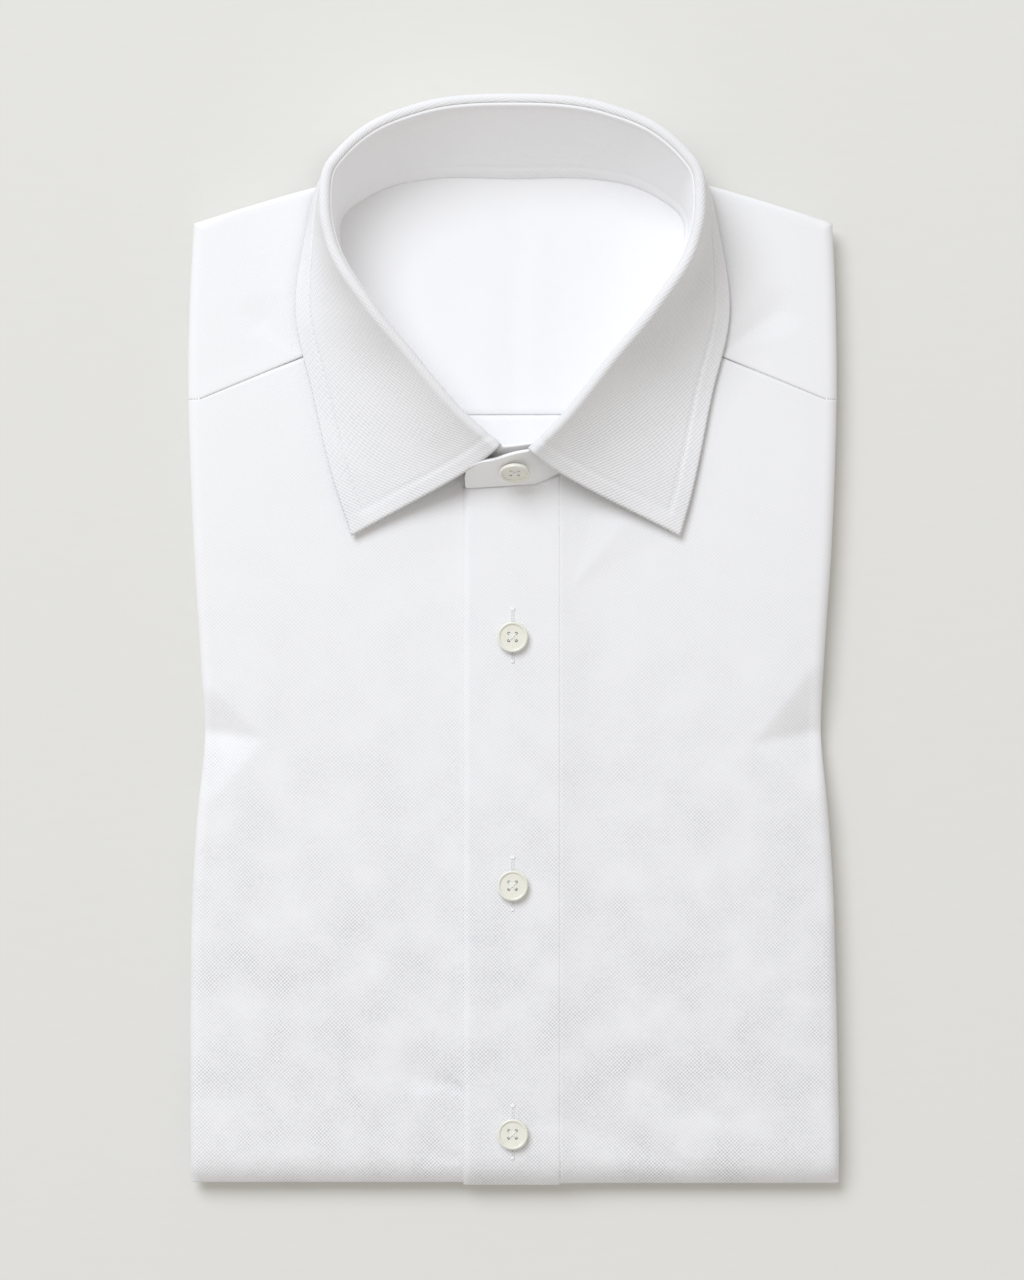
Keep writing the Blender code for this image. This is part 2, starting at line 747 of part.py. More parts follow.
def build_layers(material):
    """Sleeves, tail and turned-back sides, as one rounded pack with layered edges."""
    bm = bmesh.new()
    outline = body_outline()
    count = len(outline)
    normals = mitre_normals(outline)
    rings = []
    for inset, height in LAYER_PROFILE:
        ring = []
        for point, normal in zip(outline, normals):
            place = point - normal * inset
            fall = SHOULDER_FALL * smooth((place.y - SHOULDER_START) / SHOULDER_RUN)
            z = height - (fall + crease_drop(*place) if height > LAYER_CREASE_START else 0.0)
            ring.append(bm.verts.new((*place, z)))
        rings.append(ring)
    for upper, lower in zip(rings, rings[1:]):
        for k in range(count):
            after = (k + 1) % count
            bm.faces.new((upper[k], lower[k], lower[after], upper[after]))
    bm.faces.new(rings[0])
    bm.faces.new(reversed(rings[-1]))
    bmesh.ops.triangulate(bm, faces=[f for f in bm.faces if len(f.verts) > 4])
    bmesh.ops.recalc_face_normals(bm, faces=bm.faces)
    return add_object(bm, "folded_layers", material)


# Buttons

def button_profile():
    """Half of a button's section: radius and height, from the middle of its face down."""
    half = BUTTON_THICKNESS / 2.0
    return (
        (0.0, half - BUTTON_DISH),
        (BUTTON_RADIUS - BUTTON_RIM - BUTTON_DISH_SLOPE, half - BUTTON_DISH),
        (BUTTON_RADIUS - BUTTON_RIM, half - FACET_ROOM),
        (BUTTON_RADIUS - BUTTON_RIM_CROWN, half),
        (BUTTON_RADIUS, half - BUTTON_DISH_SLOPE),
        (BUTTON_RADIUS - BUTTON_SIDE_TAPER, -half + 2 * FACET_ROOM),
        (BUTTON_RADIUS - BUTTON_BACK_TAPER, -half),
        (0.0, -half),
    )


def build_button(name, place, tilt, material):
    """A turned four-hole button."""
    bm = bmesh.new()
    line = [bm.verts.new((radius, 0.0, z)) for radius, z in button_profile()]
    edges = [bm.edges.new(pair) for pair in zip(line, line[1:])]
    bmesh.ops.spin(
        bm, geom=line + edges, axis=(0, 0, 1), cent=(0, 0, 0), angle=2 * math.pi,
        steps=BUTTON_SIDES, use_merge=True,
    )
    bmesh.ops.remove_doubles(bm, verts=bm.verts, dist=MERGE_DISTANCE)
    bmesh.ops.recalc_face_normals(bm, faces=bm.faces)
    button = add_object(bm, name, material)
    button.location = place
    button.rotation_euler = (tilt, 0.0, 0.0)
    cut = button.modifiers.new("thread holes", "BOOLEAN")
    cut.operation = "DIFFERENCE"
    cut.object = add_hole_cutter(name, button)
    return button


def add_hole_cutter(name, button):
    bm = bmesh.new()
    half = BUTTON_HOLE_PITCH / 2.0
    for x in (-half, half):
        for y in (-half, half):
            made = bmesh.ops.create_cone(
                bm, cap_ends=True, segments=BUTTON_HOLE_SIDES, radius1=BUTTON_HOLE_RADIUS,
                radius2=BUTTON_HOLE_RADIUS, depth=BUTTON_THICKNESS * 2,
            )
            bmesh.ops.translate(bm, verts=made["verts"], vec=(x, y, 0.0))
    mesh = bpy.data.meshes.new(name + "_holes")
    bm.to_mesh(mesh)
    bm.free()
    cutter = bpy.data.objects.new(name + "_holes", mesh)
    bpy.context.scene.collection.objects.link(cutter)
    cutter.parent = button
    cutter.hide_render = True
    cutter.display_type = "WIRE"
    return cutter


def build_buttons(material):
    lift = LAYER_GAP + BUTTON_THICKNESS / 2.0
    for index in range(FRONT_BUTTONS):
        y = BUTTON_FIRST_Y - index * BUTTON_PITCH
        place = (BUTTON_X, y, placket_height(BUTTON_X, y) + lift)
        build_button(f"button_front_{index + 1}", place, 0.0, material)
    bx, by, tx, ty, tz = OVER_END[0]
    base = Vector((bx, by, placket_height(bx, by) + SEAM_GAP))
    slant = Vector((tx, ty, tz)) - base
    face = Vector((0.0, -slant.z, slant.y)).normalized()
    seat = base + slant * COLLAR_BUTTON_RISE
    place = seat + face * (COLLAR_WALL / 2.0 + COLLAR_BUTTON_SHANK + lift)
    tilt = math.atan2(slant.z, slant.y)
    build_button("button_collar", place, tilt, material)


def main():
    for obj in list(bpy.data.objects):
        bpy.data.objects.remove(obj)
    cloth = cotton()
    build_layers(cloth)
    build_flat_panel("back_panel", BACK_BOTTOM, YOKE_BACK_SEAM - SEAM_GAP, BACK_ROWS, cloth)
    build_flat_panel("yoke_inner", YOKE_BACK_SEAM, YOKE_INNER_TOP, YOKE_INNER_ROWS, cloth)
    build_yoke_outer(cloth)
    build_right_front(cloth)
    build_left_front(cloth)
    build_placket(cloth)
    build_stand(cloth)
    build_leaf(cloth)
    build_buttons(pearl())


main()
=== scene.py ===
import math
from functools import partial

import bmesh
import bpy
from mathutils import Matrix, Vector, noise
from mathutils.kdtree import KDTree


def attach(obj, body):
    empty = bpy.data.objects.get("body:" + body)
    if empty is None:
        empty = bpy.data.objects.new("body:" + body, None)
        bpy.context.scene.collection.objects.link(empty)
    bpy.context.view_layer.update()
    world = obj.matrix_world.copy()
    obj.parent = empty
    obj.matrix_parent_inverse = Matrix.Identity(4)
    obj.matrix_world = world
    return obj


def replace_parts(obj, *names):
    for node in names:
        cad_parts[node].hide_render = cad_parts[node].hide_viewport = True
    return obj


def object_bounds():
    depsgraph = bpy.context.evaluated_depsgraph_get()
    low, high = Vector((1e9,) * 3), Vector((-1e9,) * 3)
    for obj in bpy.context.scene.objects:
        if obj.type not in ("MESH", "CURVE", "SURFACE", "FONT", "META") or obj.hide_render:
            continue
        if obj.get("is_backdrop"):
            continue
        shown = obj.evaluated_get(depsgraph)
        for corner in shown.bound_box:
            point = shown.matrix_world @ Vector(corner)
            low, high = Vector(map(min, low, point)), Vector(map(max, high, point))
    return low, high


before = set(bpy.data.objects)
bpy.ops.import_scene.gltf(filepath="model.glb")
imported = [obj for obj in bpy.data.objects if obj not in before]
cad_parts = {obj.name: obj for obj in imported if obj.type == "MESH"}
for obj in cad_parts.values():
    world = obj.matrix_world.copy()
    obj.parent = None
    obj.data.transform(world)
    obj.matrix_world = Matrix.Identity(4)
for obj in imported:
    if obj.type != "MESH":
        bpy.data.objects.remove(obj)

CAD_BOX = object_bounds()

# The table and the light
# A plain pale table under the shirt, seen from straight above. One large soft window
# light comes from the top left, and a wide, warmer one fills the shadows.
CAMERA_HEIGHT = 1.400
CAMERA_SPOT = (-0.0006, 0.0019)
FLOOR_VIEW_HEIGHT = 0.4713
SENSOR = 36.0
TABLE_SIZE = 6.0
TABLE_COLOUR = (0.765, 0.757, 0.718, 1.0)
TABLE_GRAIN_SHARE = 0.975
KEY_SPOT = (-1.80, 3.10, 4.30)
KEY_SIZE = 3.40
KEY_COLOUR = (0.884, 0.927, 1.0)
KEY_POWER = 209.3
FILL_COLOUR = (1.0, 0.971, 0.932, 1.0)
FILL_STRENGTH = 0.579


def new_object(name, data):
    thing = bpy.data.objects.new(name, data)
    bpy.context.scene.collection.objects.link(thing)
    return thing


def new_material(name):
    material = bpy.data.materials.new(name)
    material.use_nodes = True
    tree = material.node_tree
    return material, tree, tree.nodes["Principled BSDF"]


def add_node(tree, kind, **settings):
    node = tree.nodes.new(kind)
    for key, value in settings.items():
        setattr(node, key, value)
    return node


def add_math(tree, operation, first, second=None):
    node = add_node(tree, "ShaderNodeMath", operation=operation)
    for index, value in enumerate((first, second)):
        if value is None:
            continue
        if isinstance(value, (int, float)):
            node.inputs[index].default_value = value
        else:
            tree.links.new(value, node.inputs[index])
    return node.outputs[0]


def add_noise(tree, place, scale, detail=2.0):
    node = add_node(tree, "ShaderNodeTexNoise")
    node.inputs["Scale"].default_value = scale
    node.inputs["Detail"].default_value = detail
    tree.links.new(place, node.inputs["Vector"])
    return node


def add_tint(tree, share, first, second):
    """A mix of two colours, steered by the share socket."""
    tint = add_node(tree, "ShaderNodeMix", data_type="RGBA")
    tint.inputs["A"].default_value = first
    tint.inputs["B"].default_value = second
    tree.links.new(share, tint.inputs["Factor"])
    return tint.outputs["Result"]


def shaded(colour, share):
    return tuple(c * share for c in colour[:3]) + (1.0,)


def table_material():
    material, tree, shader = new_material("pale linen table")
    place = add_node(tree, "ShaderNodeTexCoord")
    stretch = add_node(tree, "ShaderNodeMapping")
    stretch.inputs["Scale"].default_value = (9.0, 60.0, 9.0)
    tree.links.new(place.outputs["Object"], stretch.inputs["Vector"])
    grain = add_noise(tree, stretch.outputs["Vector"], 6.0, 4.0)
    colour = add_tint(tree, grain.outputs["Fac"], TABLE_COLOUR, shaded(TABLE_COLOUR, TABLE_GRAIN_SHARE))
    tree.links.new(colour, shader.inputs["Base Color"])
    shader.inputs["Roughness"].default_value = 0.9
    shader.inputs["Specular IOR Level"].default_value = 0.1
    return material


def build_stage():
    bm = bmesh.new()
    bmesh.ops.create_grid(bm, x_segments=2, y_segments=2, size=TABLE_SIZE / 2)
    mesh = bpy.data.meshes.new("table")
    bm.to_mesh(mesh)
    bm.free()
    mesh.materials.append(table_material())
    new_object("table", mesh)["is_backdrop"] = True


def build_camera():
    data = bpy.data.cameras.new("camera")
    data.sensor_fit = "VERTICAL"
    data.sensor_height = SENSOR
    data.lens = SENSOR * CAMERA_HEIGHT / FLOOR_VIEW_HEIGHT
    camera = new_object("camera", data)
    camera.location = (*CAMERA_SPOT, CAMERA_HEIGHT)
    bpy.context.scene.camera = camera


def build_lights():
    data = bpy.data.lights.new("window light", "AREA")
    data.shape = "DISK"
    data.size = KEY_SIZE
    data.energy = KEY_POWER
    data.color = KEY_COLOUR
    light = new_object("window light", data)
    light.location = KEY_SPOT
    light.rotation_euler = (-Vector(KEY_SPOT)).to_track_quat("-Z", "Y").to_euler()
    world = bpy.data.worlds.new("soft room")
    world.use_nodes = True
    sky = world.node_tree.nodes["Background"]
    sky.inputs["Color"].default_value = FILL_COLOUR
    sky.inputs["Strength"].default_value = FILL_STRENGTH
    bpy.context.scene.world = world
    bpy.context.scene.view_settings.view_transform = "Standard"


build_stage()
build_camera()
build_lights()

# The cotton
# Every panel is cut from one white pinpoint oxford: a basket weave whose tiny diamonds
# run on the bias. The cloth is matte, with a faint cool cast and a soft sheen.
# Painted shade: the cloth's colour darkens in the gaps between threads, and a little towards the bottom
# and towards the right.
COTTON = (0.899, 0.897, 0.906, 1.0)
COTTON_GAP_SHADE = (0.560, 0.560, 0.568, 1.0)
# Painted shade over the whole cloth: slightly darker towards the bottom, and darker towards the right
# over this reach.
TOP_SHARE = 1.00
BOTTOM_SHARE = 0.992
RIGHT_PAINTED_SHADE = 0.020
SHADE_REACH = 0.12
BODY_PITCH = 0.00098
COLLAR_PITCH = 0.00106
BIAS = 0.7071
WEAVE_DEPTH = 0.00015
SLUB_SCALE = 700.0
PATCH_SCALE = 55.0
PATCH_START = 0.20
PATCH_CONTRAST = 1.45
PATCH_SHADE = 0.022
# Where the painted shade of the bottom and of the weave's gaps starts, and how strong it grows.
UNSEEN_Y = 0.10
FULLY_SEEN_Y = -0.19
WEAVE_SEEN_TOP = 0.25
WEAVE_SEEN_BOTTOM = 2.1
CLOTH = 0.00055
MERGE_DISTANCE = 0.000002


def weave_group():
    """Depth of the gaps between the threads, the strength of their painted shade, and the shade of the
    whole cloth, with painted shade towards the bottom and the right.
    """
    group = bpy.data.node_groups.new("oxford weave", "ShaderNodeTree")
    for name in ("Pitch", "Cross"):
        group.interface.new_socket(name, in_out="INPUT", socket_type="NodeSocketFloat")
    for name in ("Height", "Gaps", "Shade"):
        group.interface.new_socket(name, in_out="OUTPUT", socket_type="NodeSocketFloat")
    start = add_node(group, "NodeGroupInput")
    end = add_node(group, "NodeGroupOutput")
    flat = add_node(group, "ShaderNodeUVMap", uv_map="cut")
    cut = add_node(group, "ShaderNodeSeparateXYZ")
    group.links.new(flat.outputs["UV"], cut.inputs["Vector"])
    times = partial(add_math, group, "MULTIPLY")
    plus = partial(add_math, group, "ADD")
    minus = partial(add_math, group, "SUBTRACT")
    turns = add_math(group, "DIVIDE", math.tau * BIAS, start.outputs["Pitch"])
    sides = []
    for operation in ("ADD", "SUBTRACT"):
        along = add_math(group, operation, cut.outputs["X"], cut.outputs["Y"])
        sides.append(add_math(group, "SINE", times(along, turns)))
    diamond = times(plus(sides[0], times(sides[1], start.outputs["Cross"])), 0.5)
    slubs = add_noise(group, flat.outputs["UV"], SLUB_SCALE).outputs["Fac"]
    height = plus(plus(diamond, minus(slubs, 0.5)), 0.5)
    patches = add_noise(group, flat.outputs["UV"], PATCH_SCALE, 4.0).outputs["Fac"]
    place = add_node(group, "ShaderNodeTexCoord")
    spot = add_node(group, "ShaderNodeSeparateXYZ")
    group.links.new(place.outputs["Object"], spot.inputs["Vector"])
    lower = add_node(group, "ShaderNodeMapRange", interpolation_type="SMOOTHSTEP")
    lower.inputs["From Min"].default_value = UNSEEN_Y
    lower.inputs["From Max"].default_value = FULLY_SEEN_Y
    group.links.new(spot.outputs["Y"], lower.inputs["Value"])
    # Painted shade in the gaps between threads, in random patches and stronger towards the bottom.
    gap_patches = times(minus(patches, PATCH_START), PATCH_CONTRAST)
    gap_patches = add_math(group, "MAXIMUM", gap_patches, 0.0)
    stronger = plus(times(lower.outputs["Result"], WEAVE_SEEN_BOTTOM), WEAVE_SEEN_TOP)
    gaps = times(minus(1.0, height), times(gap_patches, stronger))
    # Painted shade: darker towards the bottom and towards the right. The cloudy patches are random
    # tone.
    fall = times(lower.outputs["Result"], BOTTOM_SHARE - TOP_SHARE)
    across = times(spot.outputs["X"], -RIGHT_PAINTED_SHADE / SHADE_REACH)
    shade = plus(plus(fall, across), TOP_SHARE - RIGHT_PAINTED_SHADE)
    cloudy = times(minus(patches, 0.5), PATCH_SHADE)
    group.links.new(height, end.inputs["Height"])
    group.links.new(gaps, end.inputs["Gaps"])
    group.links.new(plus(shade, cloudy), end.inputs["Shade"])
    return group


WEAVE = weave_group()


def add_bump(tree, shader, height, strength, distance):
    bump = add_node(tree, "ShaderNodeBump")
    bump.inputs["Strength"].default_value = strength
    bump.inputs["Distance"].default_value = distance
    tree.links.new(height, bump.inputs["Height"])
    tree.links.new(bump.outputs["Normal"], shader.inputs["Normal"])


def cotton_material(name, gaps, depth, pitch=BODY_PITCH, cross=1.0, shade=1.0):
    """White oxford cloth; gaps is how much painted shade darkens the gaps between threads, and shade
    makes a lighter or darker copy of the same colour as painted light or shade.
    """
    material, tree, shader = new_material(name)
    weave = add_node(tree, "ShaderNodeGroup", node_tree=WEAVE)
    weave.inputs["Pitch"].default_value = pitch
    weave.inputs["Cross"].default_value = cross
    share = add_math(tree, "MULTIPLY", weave.outputs["Gaps"], gaps)
    whole = add_node(tree, "ShaderNodeVectorMath", operation="SCALE")
    tree.links.new(
        add_tint(tree, share, shaded(COTTON, shade), shaded(COTTON_GAP_SHADE, shade)), whole.inputs[0]
    )
    tree.links.new(weave.outputs["Shade"], whole.inputs["Scale"])
    tree.links.new(whole.outputs[0], shader.inputs["Base Color"])
    add_bump(tree, shader, weave.outputs["Height"], depth, WEAVE_DEPTH)
    shader.inputs["Roughness"].default_value = 0.85
    shader.inputs["Specular IOR Level"].default_value = 0.2
    shader.inputs["Sheen Weight"].default_value = 0.06
    shader.inputs["Sheen Roughness"].default_value = 0.5
    return material


# Lit and shaded copies of the one cotton: the inner yoke is painted a little lighter and the collar
# leaf a little darker, with painted shade strongest in the collar's weave gaps.
BODY_COTTON = cotton_material("body oxford", 0.44, 0.14)
INNER_COTTON = cotton_material("inner yoke oxford", 0.14, 0.05, shade=1.01)
COLLAR_COTTON = cotton_material("collar oxford", 1.60, 0.50, COLLAR_PITCH, 0.45, 0.985)


def smooth(value):
    value = min(1.0, max(0.0, value))
    return value * value * (3.0 - 2.0 * value)


def blend(a, b, share):
    return a + (b - a) * share


def read_table(rows, key, column):
    """Smooth reading of a table at a value of its first column."""
    if key <= rows[0][0]:
        return rows[0][column]
    for index in range(len(rows) - 1):
        low, high = rows[index], rows[index + 1]
        if key <= high[0]:
            before = rows[max(index - 1, 0)]
            after = rows[min(index + 2, len(rows) - 1)]
            run = high[0] - low[0]
            share = (key - low[0]) / run
            slope_1 = (high[column] - before[column]) / (high[0] - before[0]) * run
            slope_2 = (after[column] - low[column]) / (after[0] - low[0]) * run
            square, cube = share ** 2, share ** 3
            return (
                (2 * cube - 3 * square + 1) * low[column] + (cube - 2 * square + share) * slope_1
                + (3 * square - 2 * cube) * high[column] + (cube - square) * slope_2
            )
    return rows[-1][column]


def finish_piece(bm, name, material):
    """Turn a bmesh into a smooth object that rides the shirt's one body."""
    mesh = bpy.data.meshes.new(name)
    bm.to_mesh(mesh)
    bm.free()
    mesh.shade_smooth()
    mesh.materials.append(material)
    piece = new_object(name, mesh)
    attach(piece, "root")
    return piece


def cloth_grid(name, columns, rows, place, material, thickness=CLOTH, facing=None, offset=-1.0):
    """A panel from an even grid; place(u, v) gives each point and its spot on the flat cut."""
    bm = bmesh.new()
    bmesh.ops.create_grid(bm, x_segments=columns, y_segments=rows, size=0.5)
    flat = {}
    for vert in bm.verts:
        point, cut = place(vert.co.x + 0.5, vert.co.y + 0.5)
        vert.co = point
        flat[vert] = cut
    layer = bm.loops.layers.uv.new("cut")
    for face in bm.faces:
        for loop in face.loops:
            loop[layer].uv = flat[loop.vert]
    bmesh.ops.remove_doubles(bm, verts=bm.verts, dist=MERGE_DISTANCE)
    bm.normal_update()
    if facing is None:
        lean = sum(face.normal.z * face.calc_area() for face in bm.faces)
    else:
        lean = facing(bm)
    if lean < 0:
        bmesh.ops.reverse_faces(bm, faces=bm.faces)
    panel = finish_piece(bm, name, material)
    wall = panel.modifiers.new("cloth thickness", "SOLIDIFY")
    wall.thickness = thickness
    wall.offset = offset
    return panel


# The folded pack
# Sleeves, cuffs, tail and the turned-back sides lie under the back. Only their folded
# edges show, as soft uneven layers below the roll of the fronts.
BODY_TOP = 0.0130
SHOULDER_FALL = 0.0008
SHOULDER_START = 0.1000
SHOULDER_RUN = 0.0700
FOLD_LIP = 0.0043
LIP_TUCK = 0.0040
LAYER_STEP = 0.0016
SIDES = (
    # y, left edge x, right edge x
    (-0.1970, -0.1183, 0.1192),
    (-0.1670, -0.1186, 0.1189),
    (-0.0930, -0.1178, 0.1171),
    (-0.0640, -0.1160, 0.1153),
    (-0.0322, -0.1132, 0.1127),
    (-0.0054, -0.1147, 0.1136),
    (0.0386, -0.1173, 0.1165),
    (0.0900, -0.1191, 0.1182),
    (0.1260, -0.1186, 0.1178),
    (0.1544, -0.1171, 0.1167),
)
TOP_EDGE = (
    # x, top edge y
    (-0.1171, 0.1544),
    (-0.0720, 0.1676),
    (-0.0350, 0.1755),
    (0.0000, 0.1775),
    (0.0350, 0.1755),
    (0.0706, 0.1683),
    (0.1167, 0.1544),
)
CREASES = (
    # start x, start y, end x, end y, depth, width above, width below, share left at the end
    (-0.1180, -0.0308, -0.0925, -0.0340, 0.0070, 0.0205, 0.0400, 0.06),
    (0.1180, -0.0303, 0.0900, -0.0354, 0.0076, 0.0280, 0.0420, 0.06),
    (-0.0910, 0.1190, -0.0790, 0.1070, 0.0008, 0.0110, 0.0090, 0.50),
    (0.0960, 0.1220, 0.0770, 0.1080, 0.0009, 0.0100, 0.0110, 0.60),
    (-0.0370, -0.1580, -0.0195, -0.1615, 0.0012, 0.0140, 0.0080, 1.00),
    (-0.0310, -0.1850, -0.0195, -0.1880, 0.0010, 0.0110, 0.0080, 1.00),
    (0.0240, -0.1760, 0.0650, -0.1910, 0.0010, 0.0190, 0.0140, 0.60),
    (0.0500, -0.1600, 0.0800, -0.1750, 0.0007, 0.0170, 0.0140, 0.50),
    (0.0400, 0.0440, 0.0230, 0.0230, -0.0007, 0.0130, 0.0130, 0.40),
    (-0.0300, 0.0330, -0.0200, 0.0120, 0.0005, 0.0130, 0.0130, 0.60),
)
CREASE_NARROWING = 0.90
CREASE_POWER = 1.25
HEM_EASE = 0.0042
HEM_EASE_START = -0.1840
HEM_EASE_RUN = 0.0118
HEM_EASE_LIMIT = 1.1
SIDE_EASE = 0.0007
SIDE_EASE_RUN = 0.0160
RIPPLE = 0.00022
RIPPLE_SCALE = 24.0
RIPPLE_STRETCH = 0.8
FINE_RIPPLE = 0.35
FINE_SCALE = (3.1, 2.3)
RIPPLE_SEED = 3.7
FINE_SEED = 9.1
OUTLINE_LOW = -0.1957
OUTLINE_HIGH = 0.1534
OUTLINE_HALF = 0.1155
OUTLINE_BOTTOM = -0.1967
SIDE_STEPS = 90
END_STEPS = 60
EDGE_STEPS = 8
EDGE_WAVE = 0.0009
EDGE_WAVE_SCALE = 30
HALF_WIDTH = 0.118
HALF_LENGTH = 0.186
SINK_LIMIT = 0.8
PACK_EDGES = (
    # lowest z, highest z, how far in from the outline
    (0.0000, 0.0019, 0.0016),
    (0.0019, 0.0039, 0.0008),
    (0.0046, 0.0092, 0.0034),
)


def side_x(y, side):
    return read_table(SIDES, y, 1 if side < 0 else 2)


def top_y(x):
    return read_table(TOP_EDGE, x, 1)


def crease_drop(x, y):
    """Soft troughs, each steeper on one side, that narrow and fade along their length."""
    drop = 0.0
    for x0, y0, x1, y1, depth, above, below, left in CREASES:
        run_x, run_y = x1 - x0, y1 - y0
        share = ((x - x0) * run_x + (y - y0) * run_y) / (run_x ** 2 + run_y ** 2)
        held = min(1.0, max(0.0, share))
        off_x, off_y = x - x0 - run_x * held, y - y0 - run_y * held
        width = (above if off_y > 0 else below) * (1.0 - CREASE_NARROWING * held)
        trough = max(0.0, 1.0 - math.hypot(off_x, off_y) / width) ** CREASE_POWER
        drop += depth * trough * blend(1.0, left, held)
    return drop


def edge_ease(x, y):
    """The cloth sinks a little towards the bottom fold and the sides."""
    hem = max(0.0, (HEM_EASE_START - y) / HEM_EASE_RUN)
    side = 1 if x > 0 else -1
    near = max(0.0, 1.0 - abs(side_x(y, side) - x) / SIDE_EASE_RUN)
    return HEM_EASE * min(hem, HEM_EASE_LIMIT) ** 3 + SIDE_EASE * near ** 2


def cloth_ripple(x, y):
    across, along = FINE_SCALE
    x, y = x * RIPPLE_SCALE, y * RIPPLE_SCALE
    wave = noise.noise(Vector((x, y * RIPPLE_STRETCH, RIPPLE_SEED)))
    fine = noise.noise(Vector((x * across, y * along, FINE_SEED)))
    return RIPPLE * (wave + FINE_RIPPLE * fine)


def plain_height(x, y):
    fall = SHOULDER_FALL * smooth((y - SHOULDER_START) / SHOULDER_RUN)
    return BODY_TOP - fall - crease_drop(x, y) - edge_ease(x, y) + cloth_ripple(x, y) - RIPPLE


def pack_outline():
    """The folded body's outline, anticlockwise, as even steps along each edge."""
    ys = [blend(OUTLINE_LOW, OUTLINE_HIGH, k / SIDE_STEPS) for k in range(SIDE_STEPS + 1)]
    right = [Vector((side_x(y, 1), y)) for y in ys]
    left = [Vector((side_x(y, -1), y)) for y in ys]
    xs = [blend(-OUTLINE_HALF, OUTLINE_HALF, k / END_STEPS) for k in range(END_STEPS + 1)]
    top = [Vector((x, top_y(x))) for x in reversed(xs)]
    bottom = [Vector((x, OUTLINE_BOTTOM)) for x in xs]
    return bottom + right + top + list(reversed(left))


def ring_edges(bm, ring):
    return [bm.edges.new(pair) for pair in zip(ring, ring[1:] + ring[:1])]


def close_tube(bm, loops):
    """Skin a row of edge rings and close both ends."""
    for first, second in zip(loops, loops[1:]):
        bmesh.ops.bridge_loops(bm, edges=first + second)
    for loop in (loops[0], loops[-1]):
        bmesh.ops.contextual_create(bm, geom=loop)


def layer_slab(name, low, high, inset, wave_row):
    """One folded layer: a flat slab with a round, slightly wavy edge."""
    outline = pack_outline()
    middle = sum(outline, Vector((0.0, 0.0))) / len(outline)
    half = (high - low) / 2.0
    bm = bmesh.new()
    loops = []
    for k in range(EDGE_STEPS + 1):
        angle = math.pi * k / EDGE_STEPS
        ring = []
        for point in outline:
            spot = Vector((point.x * EDGE_WAVE_SCALE, point.y * EDGE_WAVE_SCALE, wave_row))
            wave = EDGE_WAVE * (0.5 + noise.noise(spot))
            inward = inset + wave + half * (1.0 - math.sin(angle))
            away = point - middle
            x = middle.x + away.x * (1.0 - inward / HALF_WIDTH)
            y = middle.y + away.y * (1.0 - inward / HALF_LENGTH)
            sink = crease_drop(x, y) + edge_ease(x, y)
            top = high - min(sink, SINK_LIMIT * (high - low)) if high > FOLD_LIP else high
            ring.append(bm.verts.new((x, y, blend(low, top, 0.5 + 0.5 * math.cos(angle)))))
        loops.append(ring_edges(bm, ring))
    close_tube(bm, loops)
    layer = bm.loops.layers.uv.new("cut")
    for face in bm.faces:
        for loop in face.loops:
            loop[layer].uv = (loop.vert.co.x, loop.vert.co.y + loop.vert.co.z)
    bmesh.ops.recalc_face_normals(bm, faces=bm.faces)
    return finish_piece(bm, name, BODY_COTTON)


PACK = [
    layer_slab(f"folded_layer_{index + 1}", low, high, inset, 2.0 + index)
    for index, (low, high, inset) in enumerate(PACK_EDGES)
]
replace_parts(PACK[1], "folded_layers")

# The back and the inner yoke
# They show inside the neck. The inner yoke is cut straight across and sewn over the
# back's top edge, so its lower edge stands a thread's height above the back.
BACK_SEAM_Y = 0.0841
HIDDEN_INSET = 0.0075
HIDDEN_TOP_INSET = 0.0045
BACK_BOTTOM = -0.1880
BACK_LAP = 0.0010
BACK_SINK = 0.0002
INNER_YOKE_Y = 0.12
INNER_YOKE_RISE = 0.00025
TURNED_EDGE = 0.00035
TURNED_EDGE_RUN = 0.0010
WAVES_END = 0.172
WAVES_FADE = 0.05
NECK_WAVES = (
    # x, depth, half width: soft upright waves in the inner yoke
    (-0.0005, 0.00050, 0.0050),
    (0.0085, -0.00035, 0.0045),
    (-0.0200, 0.00020, 0.0090),
)


def neck_floor(x, y):
    waves = sum(d * math.exp(-((x - c) / w) ** 2) for c, d, w in NECK_WAVES)
    return plain_height(x, y) - LAYER_STEP - waves * smooth((WAVES_END - y) / WAVES_FADE)


def inside_x(y, share):
    return blend(side_x(y, -1) + HIDDEN_INSET, side_x(y, 1) - HIDDEN_INSET, share)


def back_place(u, v):
    y = blend(BACK_BOTTOM, BACK_SEAM_Y + BACK_LAP, v)
    x = inside_x(y, u)
    return (x, y, neck_floor(x, y) - BACK_SINK), (x, y)


def inner_yoke_place(u, v):
    x = inside_x(INNER_YOKE_Y, u)
    y = blend(BACK_SEAM_Y, top_y(x) - HIDDEN_TOP_INSET, v)
    roll = TURNED_EDGE * math.exp(-((y - BACK_SEAM_Y) / TURNED_EDGE_RUN) ** 2)
    return (x, y, neck_floor(x, y) - roll + INNER_YOKE_RISE), (x, y)


BACK = cloth_grid("back_cloth", 60, 90, back_place, INNER_COTTON)
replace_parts(BACK, "back_panel")
INNER_YOKE = cloth_grid("inner_yoke_cloth", 130, 130, inner_yoke_place, INNER_COTTON)
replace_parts(INNER_YOKE, "yoke_inner")

